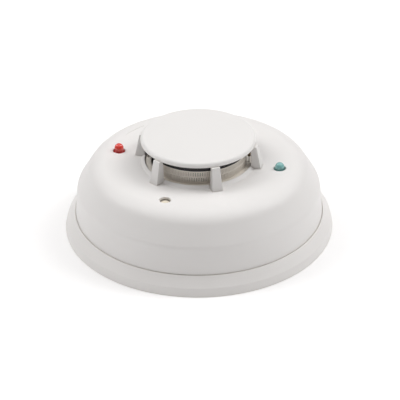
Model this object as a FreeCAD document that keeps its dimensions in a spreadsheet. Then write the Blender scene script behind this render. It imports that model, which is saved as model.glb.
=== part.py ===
import FreeCAD, Part
import Sketcher
import os
import re

# A detector head on a twist-on base. Millimetres, +Z out of the mounting face, origin at the centre of
# that face. The front of the head is at -Y and angles count anticlockwise from +X.

os.makedirs("parts", exist_ok=True)
doc = FreeCAD.newDocument("Detector")
sheet = doc.addObject("Spreadsheet::Sheet", "Dims")

SIZES = {
    # mounting base
    "base_r": 67.3, "rim_width": 5.3, "rim_edge_inset": 1.1, "rim_edge_z": 4.2, "lip_z": 8.8,
    "base_floor": 2.0, "base_wall": 2.4, "wire_hole_r": 19.0, "collar_wall": 1.6, "collar_height": 2.4,
    "rim_round": 0.6, "lip_land": 0.4, "lip_round": 0.15, "lip_drop": 1.4, "weld": 0.5,
    "slot_centre_r": 39.7, "slot_length": 14.4, "slot_r": 2.4, "slot_count": 4,
    "seat_width": 10.0, "seat_height": 1.2, "seat_margin": 0.7, "seat_skin": 0.6,
    # bayonet
    "bayonet_count": 3, "bayonet_angle": 20.0, "hook_width": 14.0, "toe_width": 12.0,
    "ledge_thick": 1.1, "toe_thick": 1.5, "leg_thick": 2.7, "leg_inset": 8.0, "hook_thick": 1.3,
    "hook_overlap": 0.2, "corner_play": 0.4, "stop_width": 1.4, "stop_turn": 8.1, "play": 0.3,
    # cover
    "cover_gap": 0.3, "cover_bottom_z": 5.0, "cover_draft": 1.4, "cover_wall": 2.0, "crease_z": 22.5,
    "shoulder_run": 8.7, "shoulder_drop": 0.55, "shoulder_round": 10.0, "crease_round": 6.0,
    "trough_drop": 1.4, "throat_lip": 2.17, "throat_land": 0.45, "throat_ease": 0.25, "throat_skirt": 0.5,
    "throat_wall": 1.6, "edge_round": 0.5,
    "rest_rib_count": 6, "rest_rib_width": 1.6, "rib_inset": 0.2,
    # vent cap
    "overall_height": 50.8, "cap_thick": 3.76, "cap_overhang": 2.0, "cap_plate": 2.6, "cap_round": 1.8,
    "cap_crown": 1.4, "cap_rim": 2.33, "cap_lip_round": 0.4, "vent_height": 10.14,
    "post_count": 6, "post_angle": 46.5, "post_setback": 0.4, "post_top_depth": 2.6,
    "post_foot_depth": 5.2, "post_top_width": 3.9, "post_foot_width": 5.1, "post_sink": 0.5,
    "foot_play": 0.05, "peg_r": 1.0, "peg_length": 1.6,
    # lower housing and board
    "housing_gap": 1.7, "housing_bottom_z": 7.6, "housing_floor": 2.0, "housing_wall": 2.0,
    "housing_height": 9.4, "housing_round": 0.6, "board_z": 14.0, "board_thick": 1.6, "board_gap": 0.5,
    "standoff_circle_r": 34.0, "standoff_r": 3.0, "board_screw_r": 1.2, "screw_fit": 0.05,
    "board_screw_head_r": 2.8, "board_screw_head": 1.8, "board_screw_angle": 75.0,
    # terminals and contacts
    "terminal_circle_r": 41.5, "terminal_screw_r": 1.7, "terminal_head_r": 3.1, "terminal_head": 1.7,
    "plate_thick": 0.8, "plate_width": 9.0, "washer_size": 7.2, "washer_thick": 0.8,
    "blade_circle_r": 47.0, "blade_thick": 0.8, "blade_width": 6.0, "leaf_thick": 0.6,
    "leaf_gap": 0.3, "leaf_width": 8.0, "fork_clear": 1.0, "blade_clear": 0.5, "blade_foot": 4.0,
    "blade_fit": 0.2, "driver_slot": 0.8,
    "terminal_angle_1": 28.0, "terminal_angle_2": 62.0, "terminal_angle_3": 135.0,
    "terminal_angle_4": 225.0, "terminal_angle_5": 315.0,
    # optical chamber
    "screen_r": 24.0, "screen_wall": 0.8, "screen_top_drop": 4.24, "flange_width": 2.0, "flange_thick": 1.0,
    "flange_drop": 0.8, "throat_clear": 0.33, "roof_thick": 2.0, "deck_z": 29.0, "deck_thick": 2.0,
    "pedestal_wall": 1.5, "slot_row_height": 2.2, "slot_row_gap": 0.8,
    "slot_width": 0.9, "slot_pitch": 6.0, "slot_start": 1.2,
    "bay_start": -15.0, "bay_span": 55.0, "bay_depth": 2.4,
    "bay_wall": 0.8, "bay_gap": 0.1, "vane_gap": 0.6, "vane_count": 12, "vane_length": 4.4, "vane_thick": 1.0,
    "optic_r": 2.0, "optic_length": 7.0, "optic_rise": 4.0, "optic_circle_r": 11.0,
    "emitter_angle": 200.0, "diode_angle": 60.0,
    # parts on the board
    "chip_circle_r": 36.5, "chip_angle": 100.0, "chip_size": 7.0, "chip_thick": 1.5, "chip_lift": 0.2,
    "chip_pitch": 0.8, "relay_circle_r": 38.0, "relay_angle": 135.0, "relay_depth": 10.0, "relay_width": 15.0,
    "relay_height": 10.0, "capacitor_circle_r": 38.0, "capacitor_angle": 205.0, "capacitor_turn": 17.0,
    "capacitor_r": 4.0, "capacitor_height": 11.0, "score_width": 0.6, "score_depth": 0.3,
    "disc_x": 36.0, "disc_y": 14.0, "disc_r": 4.5, "disc_thick": 3.2, "disc_lift": 1.5,
    "chip_part_gap": 2.0, "chip_arc_1": 262.0, "chip_arc_2": 144.0, "chip_arc_pitch": 7.0,
    # thermistors
    "sensor_angle": -7.0, "bead_r": 1.0, "bead_z": 40.2, "lead_r": 0.22, "lead_pitch": 1.0, "lead_fit": 0.2,
    # indicators
    "led_inset": 10.95, "led_angle": -13.45, "led_r": 2.3, "led_flange_r": 2.85, "led_flange": 0.9,
    "led_neck": 1.67, "led_sink": 1.1, "led_step": 0.8, "led_clear": 0.15, "spacer_r": 2.7,
    "spacer_bore": 1.6, "lead_wire_r": 0.3,
    # test button
    "button_inset": 10.25, "button_angle": -112.7, "test_hole_r": 2.75, "guide_step": 0.2, "guide_wall": 1.2,
    "guide_depth": 8.0,
    "button_clear": 0.4, "button_recess": 1.6, "switch_size": 6.2, "switch_height": 3.6,
    "stem_r": 1.75, "stem_rise": 1.0, "stem_fit": 0.1, "stem_foot": 0.8, "stem_socket": 1.6,
}

for row, (alias, size) in enumerate(SIZES.items(), start=1):
    sheet.set(f"A{row}", alias)
    sheet.set(f"B{row}", str(size))
    sheet.setAlias(f"B{row}", alias)
doc.recompute()

# Sizes that follow from the ones above. Each is an expression in the sheet's names.
DERIVED = {
    "lip_r": "base_r - rim_width",
    "cover_r": "lip_r - cover_gap",
    "crease_r": "cover_r - cover_draft",
    "shoulder_r": "crease_r - shoulder_run",
    "cap_under_z": "overall_height - cap_thick",
    "cover_top_z": "cap_under_z - vent_height",
    "shoulder_z": "cover_top_z - shoulder_drop",
    "flange_r": "screen_r + flange_width",
    "throat_r": "flange_r + throat_clear",
    "trough_z": "cover_top_z - trough_drop",
    "trough_r": "throat_r + throat_lip",
    "cap_r": "throat_r + cap_overhang",
    "top_slope": "(shoulder_z - trough_z) / (shoulder_r - trough_r)",
    "ceiling_z": "trough_z - cover_wall",
    "post_inner_r": "throat_r + post_setback",
    "post_foot_z": "trough_z - post_sink",
    "housing_r": "cover_r - cover_wall - housing_gap",
    "housing_top_z": "housing_bottom_z + housing_height",
    "board_r": "housing_r - housing_wall - board_gap",
    "board_top_z": "board_z + board_thick",
    "leg_in_r": "housing_r - leg_inset",
    "leg_out_r": "leg_in_r + leg_thick",
    "ledge_in_r": "leg_out_r + play + corner_play",
    "hook_out_r": "housing_r + hook_overlap",
    "hook_in_r": "hook_out_r - hook_thick",
    "toe_out_r": "hook_in_r - play - corner_play",
    "ledge_top_z": "housing_bottom_z - play",
    "toe_top_z": "ledge_top_z - ledge_thick - play",
    "seat_top_z": "base_floor + seat_height",
    "plate_top_z": "seat_top_z + plate_thick",
    "seat_in_r": "terminal_circle_r - plate_width / 2",
    "seat_out_r": "blade_circle_r + blade_thick / 2 + leaf_gap + leaf_thick + seat_margin",
    "blade_in_r": "blade_circle_r - blade_thick / 2",
    "blade_out_r": "blade_circle_r + blade_thick / 2",
    "screen_top_z": "cap_under_z - screen_top_drop",
    "screen_in_r": "screen_r - screen_wall",
    "flange_z": "cover_top_z - flange_drop - flange_thick",
    "bay_r": "screen_in_r - bay_depth",
    "sensor_r": "screen_r + flange_width / 2",
    "chip_part_r": "screen_r + chip_part_gap",
    "led_circle_r": "shoulder_r - led_inset",
    "led_seat_z": "shoulder_z - led_inset * top_slope - led_sink",
    "button_circle_r": "shoulder_r - button_inset",
    "button_surface_z": "shoulder_z - button_inset * top_slope",
    "button_top_z": "button_surface_z - button_recess",
    "switch_top_z": "board_top_z + switch_height",
    "stem_top_z": "switch_top_z + stem_rise",
}
NAMES = sorted(list(SIZES) + list(DERIVED), key=len, reverse=True)
WORD = re.compile(r"\b(" + "|".join(NAMES) + r")\b")


def expand(expression):
    """The expression with every derived size written out in cells of the sheet."""
    def swap(match):
        name = match.group(1)
        if name in DERIVED:
            return "(" + expand(DERIVED[name]) + ")"
        return "Dims." + name
    return WORD.sub(swap, expression)


def value(expression):
    """The number that an expression has now."""
    result = sheet.evalExpression(expand(expression))
    return float(getattr(result, "Value", result))


def bind(thing, sizes):
    for name, expression in sizes.items():
        thing.setExpression(name, expand(expression))


# ---------------------------------------------------------------- sketches and features of a body

def new_body(name):
    body = doc.addObject("PartDesign::Body", name)
    body.Label = name
    return body


def new_sketch(body, role, height="0", angle="0"):
    """An empty sketch on one of the body's own planes, lifted along its normal and turned in it."""
    sketch = body.newObject("Sketcher::SketchObject", body.Name + "_outline")
    plane = [item for item in body.Origin.OriginFeatures if item.Role == role][0]
    sketch.AttachmentSupport = [(plane, "")]
    sketch.MapMode = "FlatFace"
    bind(sketch, {"AttachmentOffset.Base.z": height, "AttachmentOffset.Rotation.Angle": angle})
    return sketch


def hold(sketch, shape, point, across, up):
    """Fix a point of a sketch by its two distances from the origin."""
    for kind, axis, expression in (("DistanceX", -2, across), ("DistanceY", -1, up)):
        size = value(expression)
        if abs(size) < 1e-9:
            sketch.addConstraint(Sketcher.Constraint("PointOnObject", shape, point, axis))
            continue
        index = sketch.addConstraint(Sketcher.Constraint(kind, -1, 1, shape, point, size))
        sketch.setExpression(f"Constraints[{index}]", expand(expression))


def outline(body, role, corners, height="0", angle="0"):
    """A closed outline with straight sides through the given corners."""
    sketch = new_sketch(body, role, height, angle)
    spots = [FreeCAD.Vector(value(across), value(up), 0) for across, up in corners]
    count = len(spots)
    for index in range(count):
        sketch.addGeometry(Part.LineSegment(spots[index], spots[(index + 1) % count]), False)
    for index in range(count):
        sketch.addConstraint(Sketcher.Constraint("Coincident", index, 2, (index + 1) % count, 1))
    for index, (across, up) in enumerate(corners):
        hold(sketch, index, 1, across, up)
    return sketch


def block(body, near, far, width, height, angle="0"):
    """A rectangle that runs outwards from the axis, from near to far, centred on its angle."""
    half = f"({width}) / 2"
    corners = [(near, f"-{half}"), (far, f"-{half}"), (far, half), (near, half)]
    return outline(body, "XY_Plane", corners, height, angle)


def rings(body, circles, height, angle="0"):
    """Circles, each given by its centre and radius."""
    sketch = new_sketch(body, "XY_Plane", height, angle)
    for across, up, radius in circles:
        centre = FreeCAD.Vector(value(across), value(up), 0)
        index = sketch.addGeometry(Part.Circle(centre, FreeCAD.Vector(0, 0, 1), value(radius)), False)
        hold(sketch, index, 3, across, up)
        limit = sketch.addConstraint(Sketcher.Constraint("Radius", index, value(radius)))
        sketch.setExpression(f"Constraints[{limit}]", expand(radius))
    return sketch


def obround(body, centre, reach, radius, height):
    """A slot that runs outwards from the axis: half its straight length is reach."""
    sketch = new_sketch(body, "XY_Plane", height)
    near = value(centre) - value(reach)
    far = value(centre) + value(reach)
    wide = value(radius)
    up = FreeCAD.Vector(0, 0, 1)
    quarter = 1.5707963267948966
    far_circle = Part.Circle(FreeCAD.Vector(far, 0, 0), up, wide)
    near_circle = Part.Circle(FreeCAD.Vector(near, 0, 0), up, wide)
    sketch.addGeometry(Part.ArcOfCircle(far_circle, -quarter, quarter), False)
    sketch.addGeometry(Part.LineSegment(FreeCAD.Vector(far, wide, 0), FreeCAD.Vector(near, wide, 0)), False)
    sketch.addGeometry(Part.ArcOfCircle(near_circle, quarter, 3 * quarter), False)
    sketch.addGeometry(Part.LineSegment(FreeCAD.Vector(near, -wide, 0), FreeCAD.Vector(far, -wide, 0)), False)
    for first, first_end, second, second_end in ((0, 2, 1, 1), (1, 2, 2, 1), (2, 2, 3, 1), (3, 2, 0, 1)):
        sketch.addConstraint(Sketcher.Constraint("Tangent", first, first_end, second, second_end))
    hold(sketch, 0, 3, f"{centre} + {reach}", "0")
    hold(sketch, 2, 3, f"{centre} - {reach}", "0")
    limit = sketch.addConstraint(Sketcher.Constraint("Radius", 0, wide))
    sketch.setExpression(f"Constraints[{limit}]", expand(radius))
    return sketch


def turn(body, corners):
    """Revolve an outline of radius and height about the axis."""
    feature = body.newObject("PartDesign::Revolution", body.Name + "_turn")
    feature.Profile = outline(body, "XZ_Plane", corners)
    feature.ReferenceAxis = (feature.Profile[0], ["V_Axis"])
    feature.Angle = 360
    return feature


def pad(body, sketch, length):
    feature = body.newObject("PartDesign::Pad", body.Name + "_pad")
    feature.Profile = sketch
    bind(feature, {"Length": length})
    return feature


def pocket(body, sketch, depth):
    """Cut downwards from the sketch."""
    feature = body.newObject("PartDesign::Pocket", body.Name + "_cut")
    feature.Profile = sketch
    bind(feature, {"Length": depth})
    return feature


def around(body, features, count):
    """Repeat features evenly about the axis."""
    axis = [item for item in body.Origin.OriginFeatures if item.Role == "Z_Axis"][0]
    feature = body.newObject("PartDesign::PolarPattern", body.Name + "_ring")
    feature.Originals = features
    feature.Axis = (axis, [""])
    feature.Angle = 360
    bind(feature, {"Occurrences": count})
    body.Tip = feature
    return feature


def round_rings(body, base, radius, circles):
    """Round the circular edges that lie at the given radii and heights."""
    doc.recompute()
    spots = [(value(across), value(up)) for across, up in circles]
    names = []
    for index, edge in enumerate(base.Shape.Edges, start=1):
        curve = edge.Curve
        if not isinstance(curve, Part.Circle):
            continue
        for across, up in spots:
            if abs(curve.Radius - across) < 1e-4 and abs(curve.Center.z - up) < 1e-4:
                names.append(f"Edge{index}")
    feature = body.newObject("PartDesign::Fillet", body.Name + "_round")
    feature.Base = (base, names)
    bind(feature, {"Radius": radius})
    body.Tip = feature
    return feature


def mitre(before, corner, after, wall):
    """The corner that lies one wall inside an outline, as expressions, with the inside on its left."""
    def unit(start, end):
        across = f"(({end[0]}) - ({start[0]}))"
        up = f"(({end[1]}) - ({start[1]}))"
        length = f"sqrt({across} ^ 2 + {up} ^ 2)"
        return f"({across} / {length})", f"({up} / {length})"
    first = unit(before, corner)
    second = unit(corner, after)
    share = f"({wall}) / (1 + {first[0]} * {second[0]} + {first[1]} * {second[1]})"
    across = f"({corner[0]}) - {share} * ({first[1]} + {second[1]})"
    up = f"({corner[1]}) + {share} * ({first[0]} + {second[0]})"
    return across, up


# ---------------------------------------------------------------- primitives

def at(thing, radius, angle, height, sideways="0"):
    """Place a primitive at a radius and an angle, shifted sideways, and turn it to face outwards."""
    bind(thing, {
        "Placement.Base.x": f"({radius}) * cos({angle}) - ({sideways}) * sin({angle})",
        "Placement.Base.y": f"({radius}) * sin({angle}) + ({sideways}) * cos({angle})",
        "Placement.Base.z": height,
        "Placement.Rotation.Angle": angle,
    })
    return thing


def rod(name, radius, bottom, top, circle_r="0", angle="0", sideways="0"):
    thing = doc.addObject("Part::Cylinder", name)
    bind(thing, {"Radius": radius, "Height": f"({top}) - ({bottom})"})
    return at(thing, circle_r, angle, bottom, sideways)


def brick(name, near, far, width, bottom, top, angle="0", sideways="0"):
    """A box from radius near to far, centred across its angle."""
    thing = doc.addObject("Part::Box", name)
    bind(thing, {"Length": f"({far}) - ({near})", "Width": width, "Height": f"({top}) - ({bottom})"})
    return at(thing, near, angle, bottom, f"({sideways}) - ({width}) / 2")


def joined(name, pieces):
    thing = doc.addObject("Part::MultiFuse", name)
    thing.Shapes = pieces
    thing.Label = name
    return thing


def group(name, pieces):
    """Separate solids that share one node."""
    thing = doc.addObject("Part::Compound", name)
    thing.Links = pieces
    thing.Label = name
    return thing


def less(name, base, tools):
    thing = doc.addObject("Part::Cut", name)
    thing.Base = base
    thing.Tool = tools[0] if len(tools) == 1 else group(name + "_tools", tools)
    thing.Label = name
    return thing


def sector(name, inner, outer, bottom, top, start, span):
    """Part of a ring, from the start angle round by span."""
    full = rod(name + "_outer", outer, bottom, top, "0", start)
    bind(full, {"Angle": span})
    hole = rod(name + "_inner", inner, f"({bottom}) - 1", f"({top}) + 1")
    return less(name, full, [hole])


NODES = []


def node(thing, name):
    thing.Label = name
    NODES.append((name, thing))
    return thing


# ---------------------------------------------------------------- mounting base

def mounting_base():
    body = new_body("mounting_base")
    rim_out = ("base_r - rim_edge_inset", "rim_edge_z")
    lip_out = ("lip_r + lip_land", "lip_z")
    lip = ("lip_r", "lip_z")
    under_lip = ("lip_r", "lip_z - lip_drop")
    wall_in = ("base_r - rim_edge_inset - base_wall", "rim_edge_z")
    collar_z = "base_floor + collar_height"
    collar_r = "wire_hole_r + collar_wall"
    shell = turn(body, [("wire_hole_r", "0"), ("base_r", "0"), rim_out, lip_out, lip, under_lip, wall_in,
                        (wall_in[0], "base_floor"), (collar_r, "base_floor"), (collar_r, collar_z),
                        ("wire_hole_r", collar_z)])
    edge = round_rings(body, shell, "rim_round", [rim_out])
    round_rings(body, edge, "lip_round", [lip_out, lip])
    slot = pocket(body, obround(body, "slot_centre_r", "(slot_length / 2 - slot_r)", "slot_r", "base_floor"),
                  "base_floor")
    around(body, [slot], "slot_count")
    root_z = "base_floor - weld"
    post_sketch = block(body, "hook_in_r", "hook_out_r", "hook_width", root_z, "bayonet_angle")
    post = pad(body, post_sketch, f"ledge_top_z - ({root_z})")
    ledge_sketch = block(body, "ledge_in_r", "hook_out_r", "hook_width", "ledge_top_z - ledge_thick",
                         "bayonet_angle")
    ledge = pad(body, ledge_sketch, "ledge_thick")
    stop_sketch = block(body, "ledge_in_r", "hook_out_r", "stop_width", root_z, "bayonet_angle - stop_turn")
    stop = pad(body, stop_sketch, f"ledge_top_z - ({root_z})")
    around(body, [post, ledge, stop], "bayonet_count")
    for index in range(1, 6):
        angle = f"terminal_angle_{index}"
        pad(body, block(body, "seat_in_r", "seat_out_r", "seat_width", root_z, angle), "seat_height + weld")
        hole = rings(body, [("terminal_circle_r", "0", "terminal_screw_r + screw_fit")], "seat_top_z", angle)
        pocket(body, hole, "seat_top_z - seat_skin")
    return node(body, "mounting_base")


def terminal_plate(index, angle):
    """A clamp plate with a spring fork that a blade of the head slides into."""
    name = f"terminal_plate_{index}"
    place = ("plate_top_z", "housing_bottom_z - fork_clear", angle)
    flat = brick(name + "_flat", "seat_in_r", "seat_out_r", "plate_width", "seat_top_z", "plate_top_z", angle)
    inner_leaf = brick(name + "_inner_leaf", "blade_in_r - leaf_gap - leaf_thick", "blade_in_r - leaf_gap",
                       "leaf_width", *place)
    outer_leaf = brick(name + "_outer_leaf", "blade_out_r + leaf_gap",
                       "blade_out_r + leaf_gap + leaf_thick", "leaf_width", *place)
    solid = joined(name + "_solid", [flat, inner_leaf, outer_leaf])
    hole = rod(name + "_hole", "terminal_screw_r + screw_fit", "base_floor", "housing_bottom_z",
               "terminal_circle_r", angle)
    return less(name, solid, [hole])


def terminal_washer(index, angle):
    name = f"terminal_washer_{index}"
    top = "plate_top_z + washer_thick"
    flat = brick(name + "_flat", "terminal_circle_r - washer_size / 2", "terminal_circle_r + washer_size / 2",
                 "washer_size", "plate_top_z", top, angle)
    hole = rod(name + "_hole", "terminal_screw_r + screw_fit", "base_floor", "housing_bottom_z",
               "terminal_circle_r", angle)
    return less(name, flat, [hole])


def terminal_screw(index, angle):
    name = f"terminal_screw_{index}"
    head_z = "plate_top_z + washer_thick"
    top = f"{head_z} + terminal_head"
    place = ("terminal_circle_r", angle)
    shank = rod(name + "_shank", "terminal_screw_r", "seat_skin + 0.2", head_z, *place)
    head = rod(name + "_head", "terminal_head_r", head_z, top, *place)
    drive = brick(name + "_drive", "terminal_circle_r - 2 * terminal_head_r",
                  "terminal_circle_r + 2 * terminal_head_r", "driver_slot", f"{top} - terminal_head / 2",
                  f"{top} + 1", angle)
    return less(name, joined(name + "_solid", [shank, head]), [drive])


def terminals():
    angles = [(index, f"terminal_angle_{index}") for index in range(1, 6)]
    for index, angle in angles:
        node(terminal_plate(index, angle), f"terminal_plate_{index}")
    screws = [terminal_screw(index, angle) for index, angle in angles]
    washers = [terminal_washer(index, angle) for index, angle in angles]
    node(group("terminal_screws", screws), "terminal_screws")
    node(group("terminal_washers", washers), "terminal_washers")


# ---------------------------------------------------------------- head

def lower_housing():
    body = new_body("lower_housing")
    floor_z = "housing_bottom_z + housing_floor"
    shell = turn(body, [("0", "housing_bottom_z"), ("housing_r", "housing_bottom_z"),
                        ("housing_r", "housing_top_z"), ("housing_r - housing_wall", "housing_top_z"),
                        ("housing_r - housing_wall", floor_z), ("0", floor_z)])
    round_rings(body, shell, "housing_round", [("housing_r", "housing_bottom_z")])
    toe_z = "toe_top_z - toe_thick"
    leg_sketch = block(body, "leg_in_r", "leg_out_r", "toe_width", toe_z, "bayonet_angle")
    leg = pad(body, leg_sketch, f"housing_bottom_z - ({toe_z}) + weld")
    toe = pad(body, block(body, "leg_in_r", "toe_out_r", "toe_width", toe_z, "bayonet_angle"), "toe_thick")
    around(body, [leg, toe], "bayonet_count")
    place = ("standoff_circle_r", "0")
    standoff_sketch = rings(body, [(*place, "standoff_r")], f"{floor_z} - weld", "board_screw_angle")
    standoff = pad(body, standoff_sketch, f"board_z - ({floor_z}) + weld")
    bore_sketch = rings(body, [(*place, "board_screw_r + screw_fit")], "board_z", "board_screw_angle")
    bore = pocket(body, bore_sketch, "board_z - housing_bottom_z - 1")
    around(body, [standoff, bore], "3")
    for index in range(1, 6):
        slot = block(body, "blade_in_r - blade_fit", "blade_out_r + blade_fit", "blade_width + 2 * blade_fit",
                     floor_z, f"terminal_angle_{index}")
        pocket(body, slot, "housing_floor")
    return node(body, "lower_housing")


def circuit_board():
    body = new_body("circuit_board")
    pad(body, rings(body, [("0", "0", "board_r")], "board_z"), "board_thick")
    hole = pocket(body, rings(body, [("standoff_circle_r", "0", "board_screw_r + screw_fit")], "board_top_z",
                              "board_screw_angle"), "board_thick")
    around(body, [hole], "3")
    return node(body, "circuit_board")


def board_screws():
    screws = []
    for index in range(3):
        angle = f"board_screw_angle + {120 * index}"
        shank = rod(f"board_screw_{index}_shank", "board_screw_r", "housing_bottom_z + 1.2", "board_top_z",
                    "standoff_circle_r", angle)
        head = rod(f"board_screw_{index}_head", "board_screw_head_r", "board_top_z",
                   "board_top_z + board_screw_head", "standoff_circle_r", angle)
        screws.append(joined(f"board_screw_{index}", [shank, head]))
    node(group("board_screws", screws), "board_screws")


def contact_blades():
    """Blades that hang below the housing, each with a foot under the board."""
    for index in range(1, 6):
        angle = f"terminal_angle_{index}"
        name = f"contact_blade_{index}"
        strip = brick(name + "_strip", "blade_in_r", "blade_out_r", "blade_width",
                      "plate_top_z + blade_clear", "board_z", angle)
        foot = brick(name + "_foot", "blade_in_r - blade_foot", "blade_out_r", "blade_width",
                     "board_z - blade_thick", "board_z", angle)
        node(joined(name, [strip, foot]), name)


def chamber_base():
    body = new_body("chamber_base")
    outer = "screen_r"
    inner = "screen_r - pedestal_wall"
    deck_under = "deck_z - deck_thick"
    turn(body, [(inner, "board_top_z"), (outer, "board_top_z"), (outer, "deck_z"), ("0", "deck_z"),
                ("0", deck_under), (inner, deck_under)])
    for angle in ("emitter_angle", "diode_angle"):
        pad(body, block(body, "optic_circle_r - optic_length / 2", "optic_circle_r + optic_length / 2 - 1",
                        "optic_r * 2 + 2", "deck_z - 0.5", angle), "optic_rise - optic_r + 0.5")
    return node(body, "chamber_base")


def chamber_cover():
    """Roof, vanes and the two recessed bay walls behind the heat sensors."""
    under = "screen_top_z + weld"
    pieces = [rod("chamber_roof", "screen_r", "screen_top_z", "screen_top_z + roof_thick")]
    for side in range(2):
        start = f"bay_start + {180 * side}"
        pieces.append(sector(f"bay_wall_{side}", "bay_r - bay_wall", "bay_r", "deck_z", under, start,
                             "bay_span"))
        for count, angle in enumerate((start, f"{start} + bay_span")):
            pieces.append(brick(f"bay_side_{side}_{count}", "bay_r - bay_wall / 2", "screen_in_r - bay_gap",
                                "bay_wall", "deck_z", under, angle))
    vane_out_r = "(bay_r - bay_wall - vane_gap)"
    for index in range(value_count("vane_count")):
        angle = f"{360 * index} / vane_count + bay_start + bay_span / 2"
        pieces.append(brick(f"vane_{index}", f"{vane_out_r} - vane_length", vane_out_r, "vane_thick",
                            "deck_z", under, angle))
    return node(joined("chamber_cover", pieces), "chamber_cover")


def value_count(name):
    return int(round(value(name)))


def insect_screen():
    """Slotted wall with a flange that fills the throat of the cover, open at the two sensor bays."""
    flange_top = "flange_z + flange_thick"
    beyond = "screen_top_z + 1"
    wall = rod("screen_wall_solid", "screen_r", "deck_z", "screen_top_z")
    flange = rod("screen_flange", "flange_r", "flange_z", flange_top)
    cuts = [rod("screen_hollow", "screen_in_r", "deck_z - 1", beyond)]
    for side in range(2):
        cuts.append(sector(f"screen_bay_{side}", "screen_in_r - weld", "screen_r + weld", flange_top, beyond,
                           f"bay_start + {180 * side}", "bay_span"))
        for count, sideways in enumerate(("-lead_pitch / 2", "lead_pitch / 2")):
            cuts.append(rod(f"lead_hole_{side}_{count}", "lead_r + lead_fit", "flange_z - 1", beyond,
                            "sensor_r", f"sensor_angle + {180 * side}", sideways))
        slots_in_row = int((180 - value("bay_span")) / value("slot_pitch")) - 1
        for index in range(slots_in_row):
            for tier in range(2):
                name = f"screen_slot_{side}_{index}_{tier}"
                angle = f"bay_start + bay_span + {180 * side} + slot_pitch * {index + 1 + 0.5 * tier}"
                low = f"{flange_top} + slot_start + {tier} * (slot_row_height + slot_row_gap)"
                cuts.append(brick(name, "screen_in_r - 1", "screen_r + 1", "slot_width", low,
                                  f"{low} + slot_row_height", angle))
    return node(less("insect_screen", joined("screen_solid", [wall, flange]), cuts), "insect_screen")


def optics():
    """Emitter and receiver lie on their cradles and look towards the middle of the chamber."""
    for name, angle in (("ir_emitter", "emitter_angle"), ("photodiode", "diode_angle")):
        centre_z = "deck_z + optic_rise"
        block_z = f"{centre_z} - optic_r"
        body = brick(name + "_can", "optic_circle_r - optic_length / 2", "optic_circle_r + optic_length / 2",
                     "optic_r * 2", block_z, f"{centre_z} + optic_r", angle)
        nose = doc.addObject("Part::Sphere", name + "_nose")
        bind(nose, {"Radius": "optic_r"})
        at(nose, "optic_circle_r - optic_length / 2", angle, centre_z)
        node(joined(name, [body, nose]), name)


def heat_sensors():
    """Two beads on pairs of thin leads that stand in the bays of the screen."""
    for side, name in enumerate(("thermistor_right", "thermistor_left")):
        angle = f"sensor_angle + {180 * side}"
        bead = doc.addObject("Part::Sphere", name + "_bead")
        bind(bead, {"Radius": "bead_r"})
        at(bead, "sensor_r", angle, "bead_z")
        leads = [rod(f"{name}_lead_{count}", "lead_r", "board_top_z", "bead_z", "sensor_r", angle,
                     f"{sign} * lead_pitch / 2") for count, sign in enumerate(("-1", "1"))]
        node(joined(name, [bead] + leads), name)


def indicators():
    spacers = []
    for side, name in enumerate(("green_led", "red_led")):
        angle = f"led_angle + {180 * side}"
        place = ("led_circle_r", angle)
        seat_z = ("led_seat_z - led_step", "led_seat_z")[side]
        neck_z = f"{seat_z} + led_flange"
        dome_z = f"{neck_z} + led_neck"
        flange = rod(name + "_flange", "led_flange_r", seat_z, neck_z, *place)
        neck = rod(name + "_neck", "led_r", neck_z, dome_z, *place)
        dome = doc.addObject("Part::Sphere", name + "_dome")
        bind(dome, {"Radius": "led_r"})
        dome.Angle1 = 0
        at(dome, *place, dome_z)
        leads = []
        for count, sideways in enumerate(("-spacer_bore / 2", "spacer_bore / 2")):
            leads.append(rod(f"{name}_lead_{count}", "lead_wire_r", "board_top_z",
                             f"{seat_z} + led_flange / 2", *place, sideways))
        node(joined(name, [flange, neck, dome] + leads), name)
        tube = rod(f"spacer_{side}_tube", "spacer_r", "board_top_z", seat_z, *place)
        bore = rod(f"spacer_{side}_bore", "spacer_bore", "board_top_z - 1", f"{seat_z} + 1", *place)
        spacers.append(less(f"spacer_{side}", tube, [bore]))
    node(group("led_spacers", spacers), "led_spacers")


def microcontroller():
    near = "chip_circle_r - chip_size / 2"
    far = "chip_circle_r + chip_size / 2"
    case = brick("microcontroller_case", near, far, "chip_size", "board_top_z + chip_lift",
                 "board_top_z + chip_thick", "chip_angle")
    pieces = [case]
    for count in range(8):
        sideways = f"chip_pitch * {count - 3.5}"
        pieces.append(brick(f"microcontroller_pin_{count}", f"{near} - chip_pitch", f"{far} + chip_pitch",
                            "chip_pitch / 2", "board_top_z", "board_top_z + 2 * chip_lift", "chip_angle",
                            sideways))
    return node(joined("microcontroller", pieces), "microcontroller")


def alarm_relay():
    case = brick("relay_case", "relay_circle_r - relay_depth / 2", "relay_circle_r + relay_depth / 2",
                 "relay_width", "board_top_z", "board_top_z + relay_height", "relay_angle")
    return node(case, "alarm_relay")


def capacitors():
    cans = []
    top = "board_top_z + capacitor_height"
    for count in range(2):
        angle = f"capacitor_angle + capacitor_turn * {count}"
        can = rod(f"capacitor_{count}_can", "capacitor_r", "board_top_z", top, "capacitor_circle_r", angle)
        score = brick(f"capacitor_{count}_score", "capacitor_circle_r - capacitor_r * 0.6",
                      "capacitor_circle_r + capacitor_r * 0.6", "score_width", f"{top} - score_depth",
                      f"{top} + 1", angle)
        cans.append(less(f"capacitor_{count}", can, [score]))
    return node(group("capacitors", cans), "capacitors")


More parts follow.
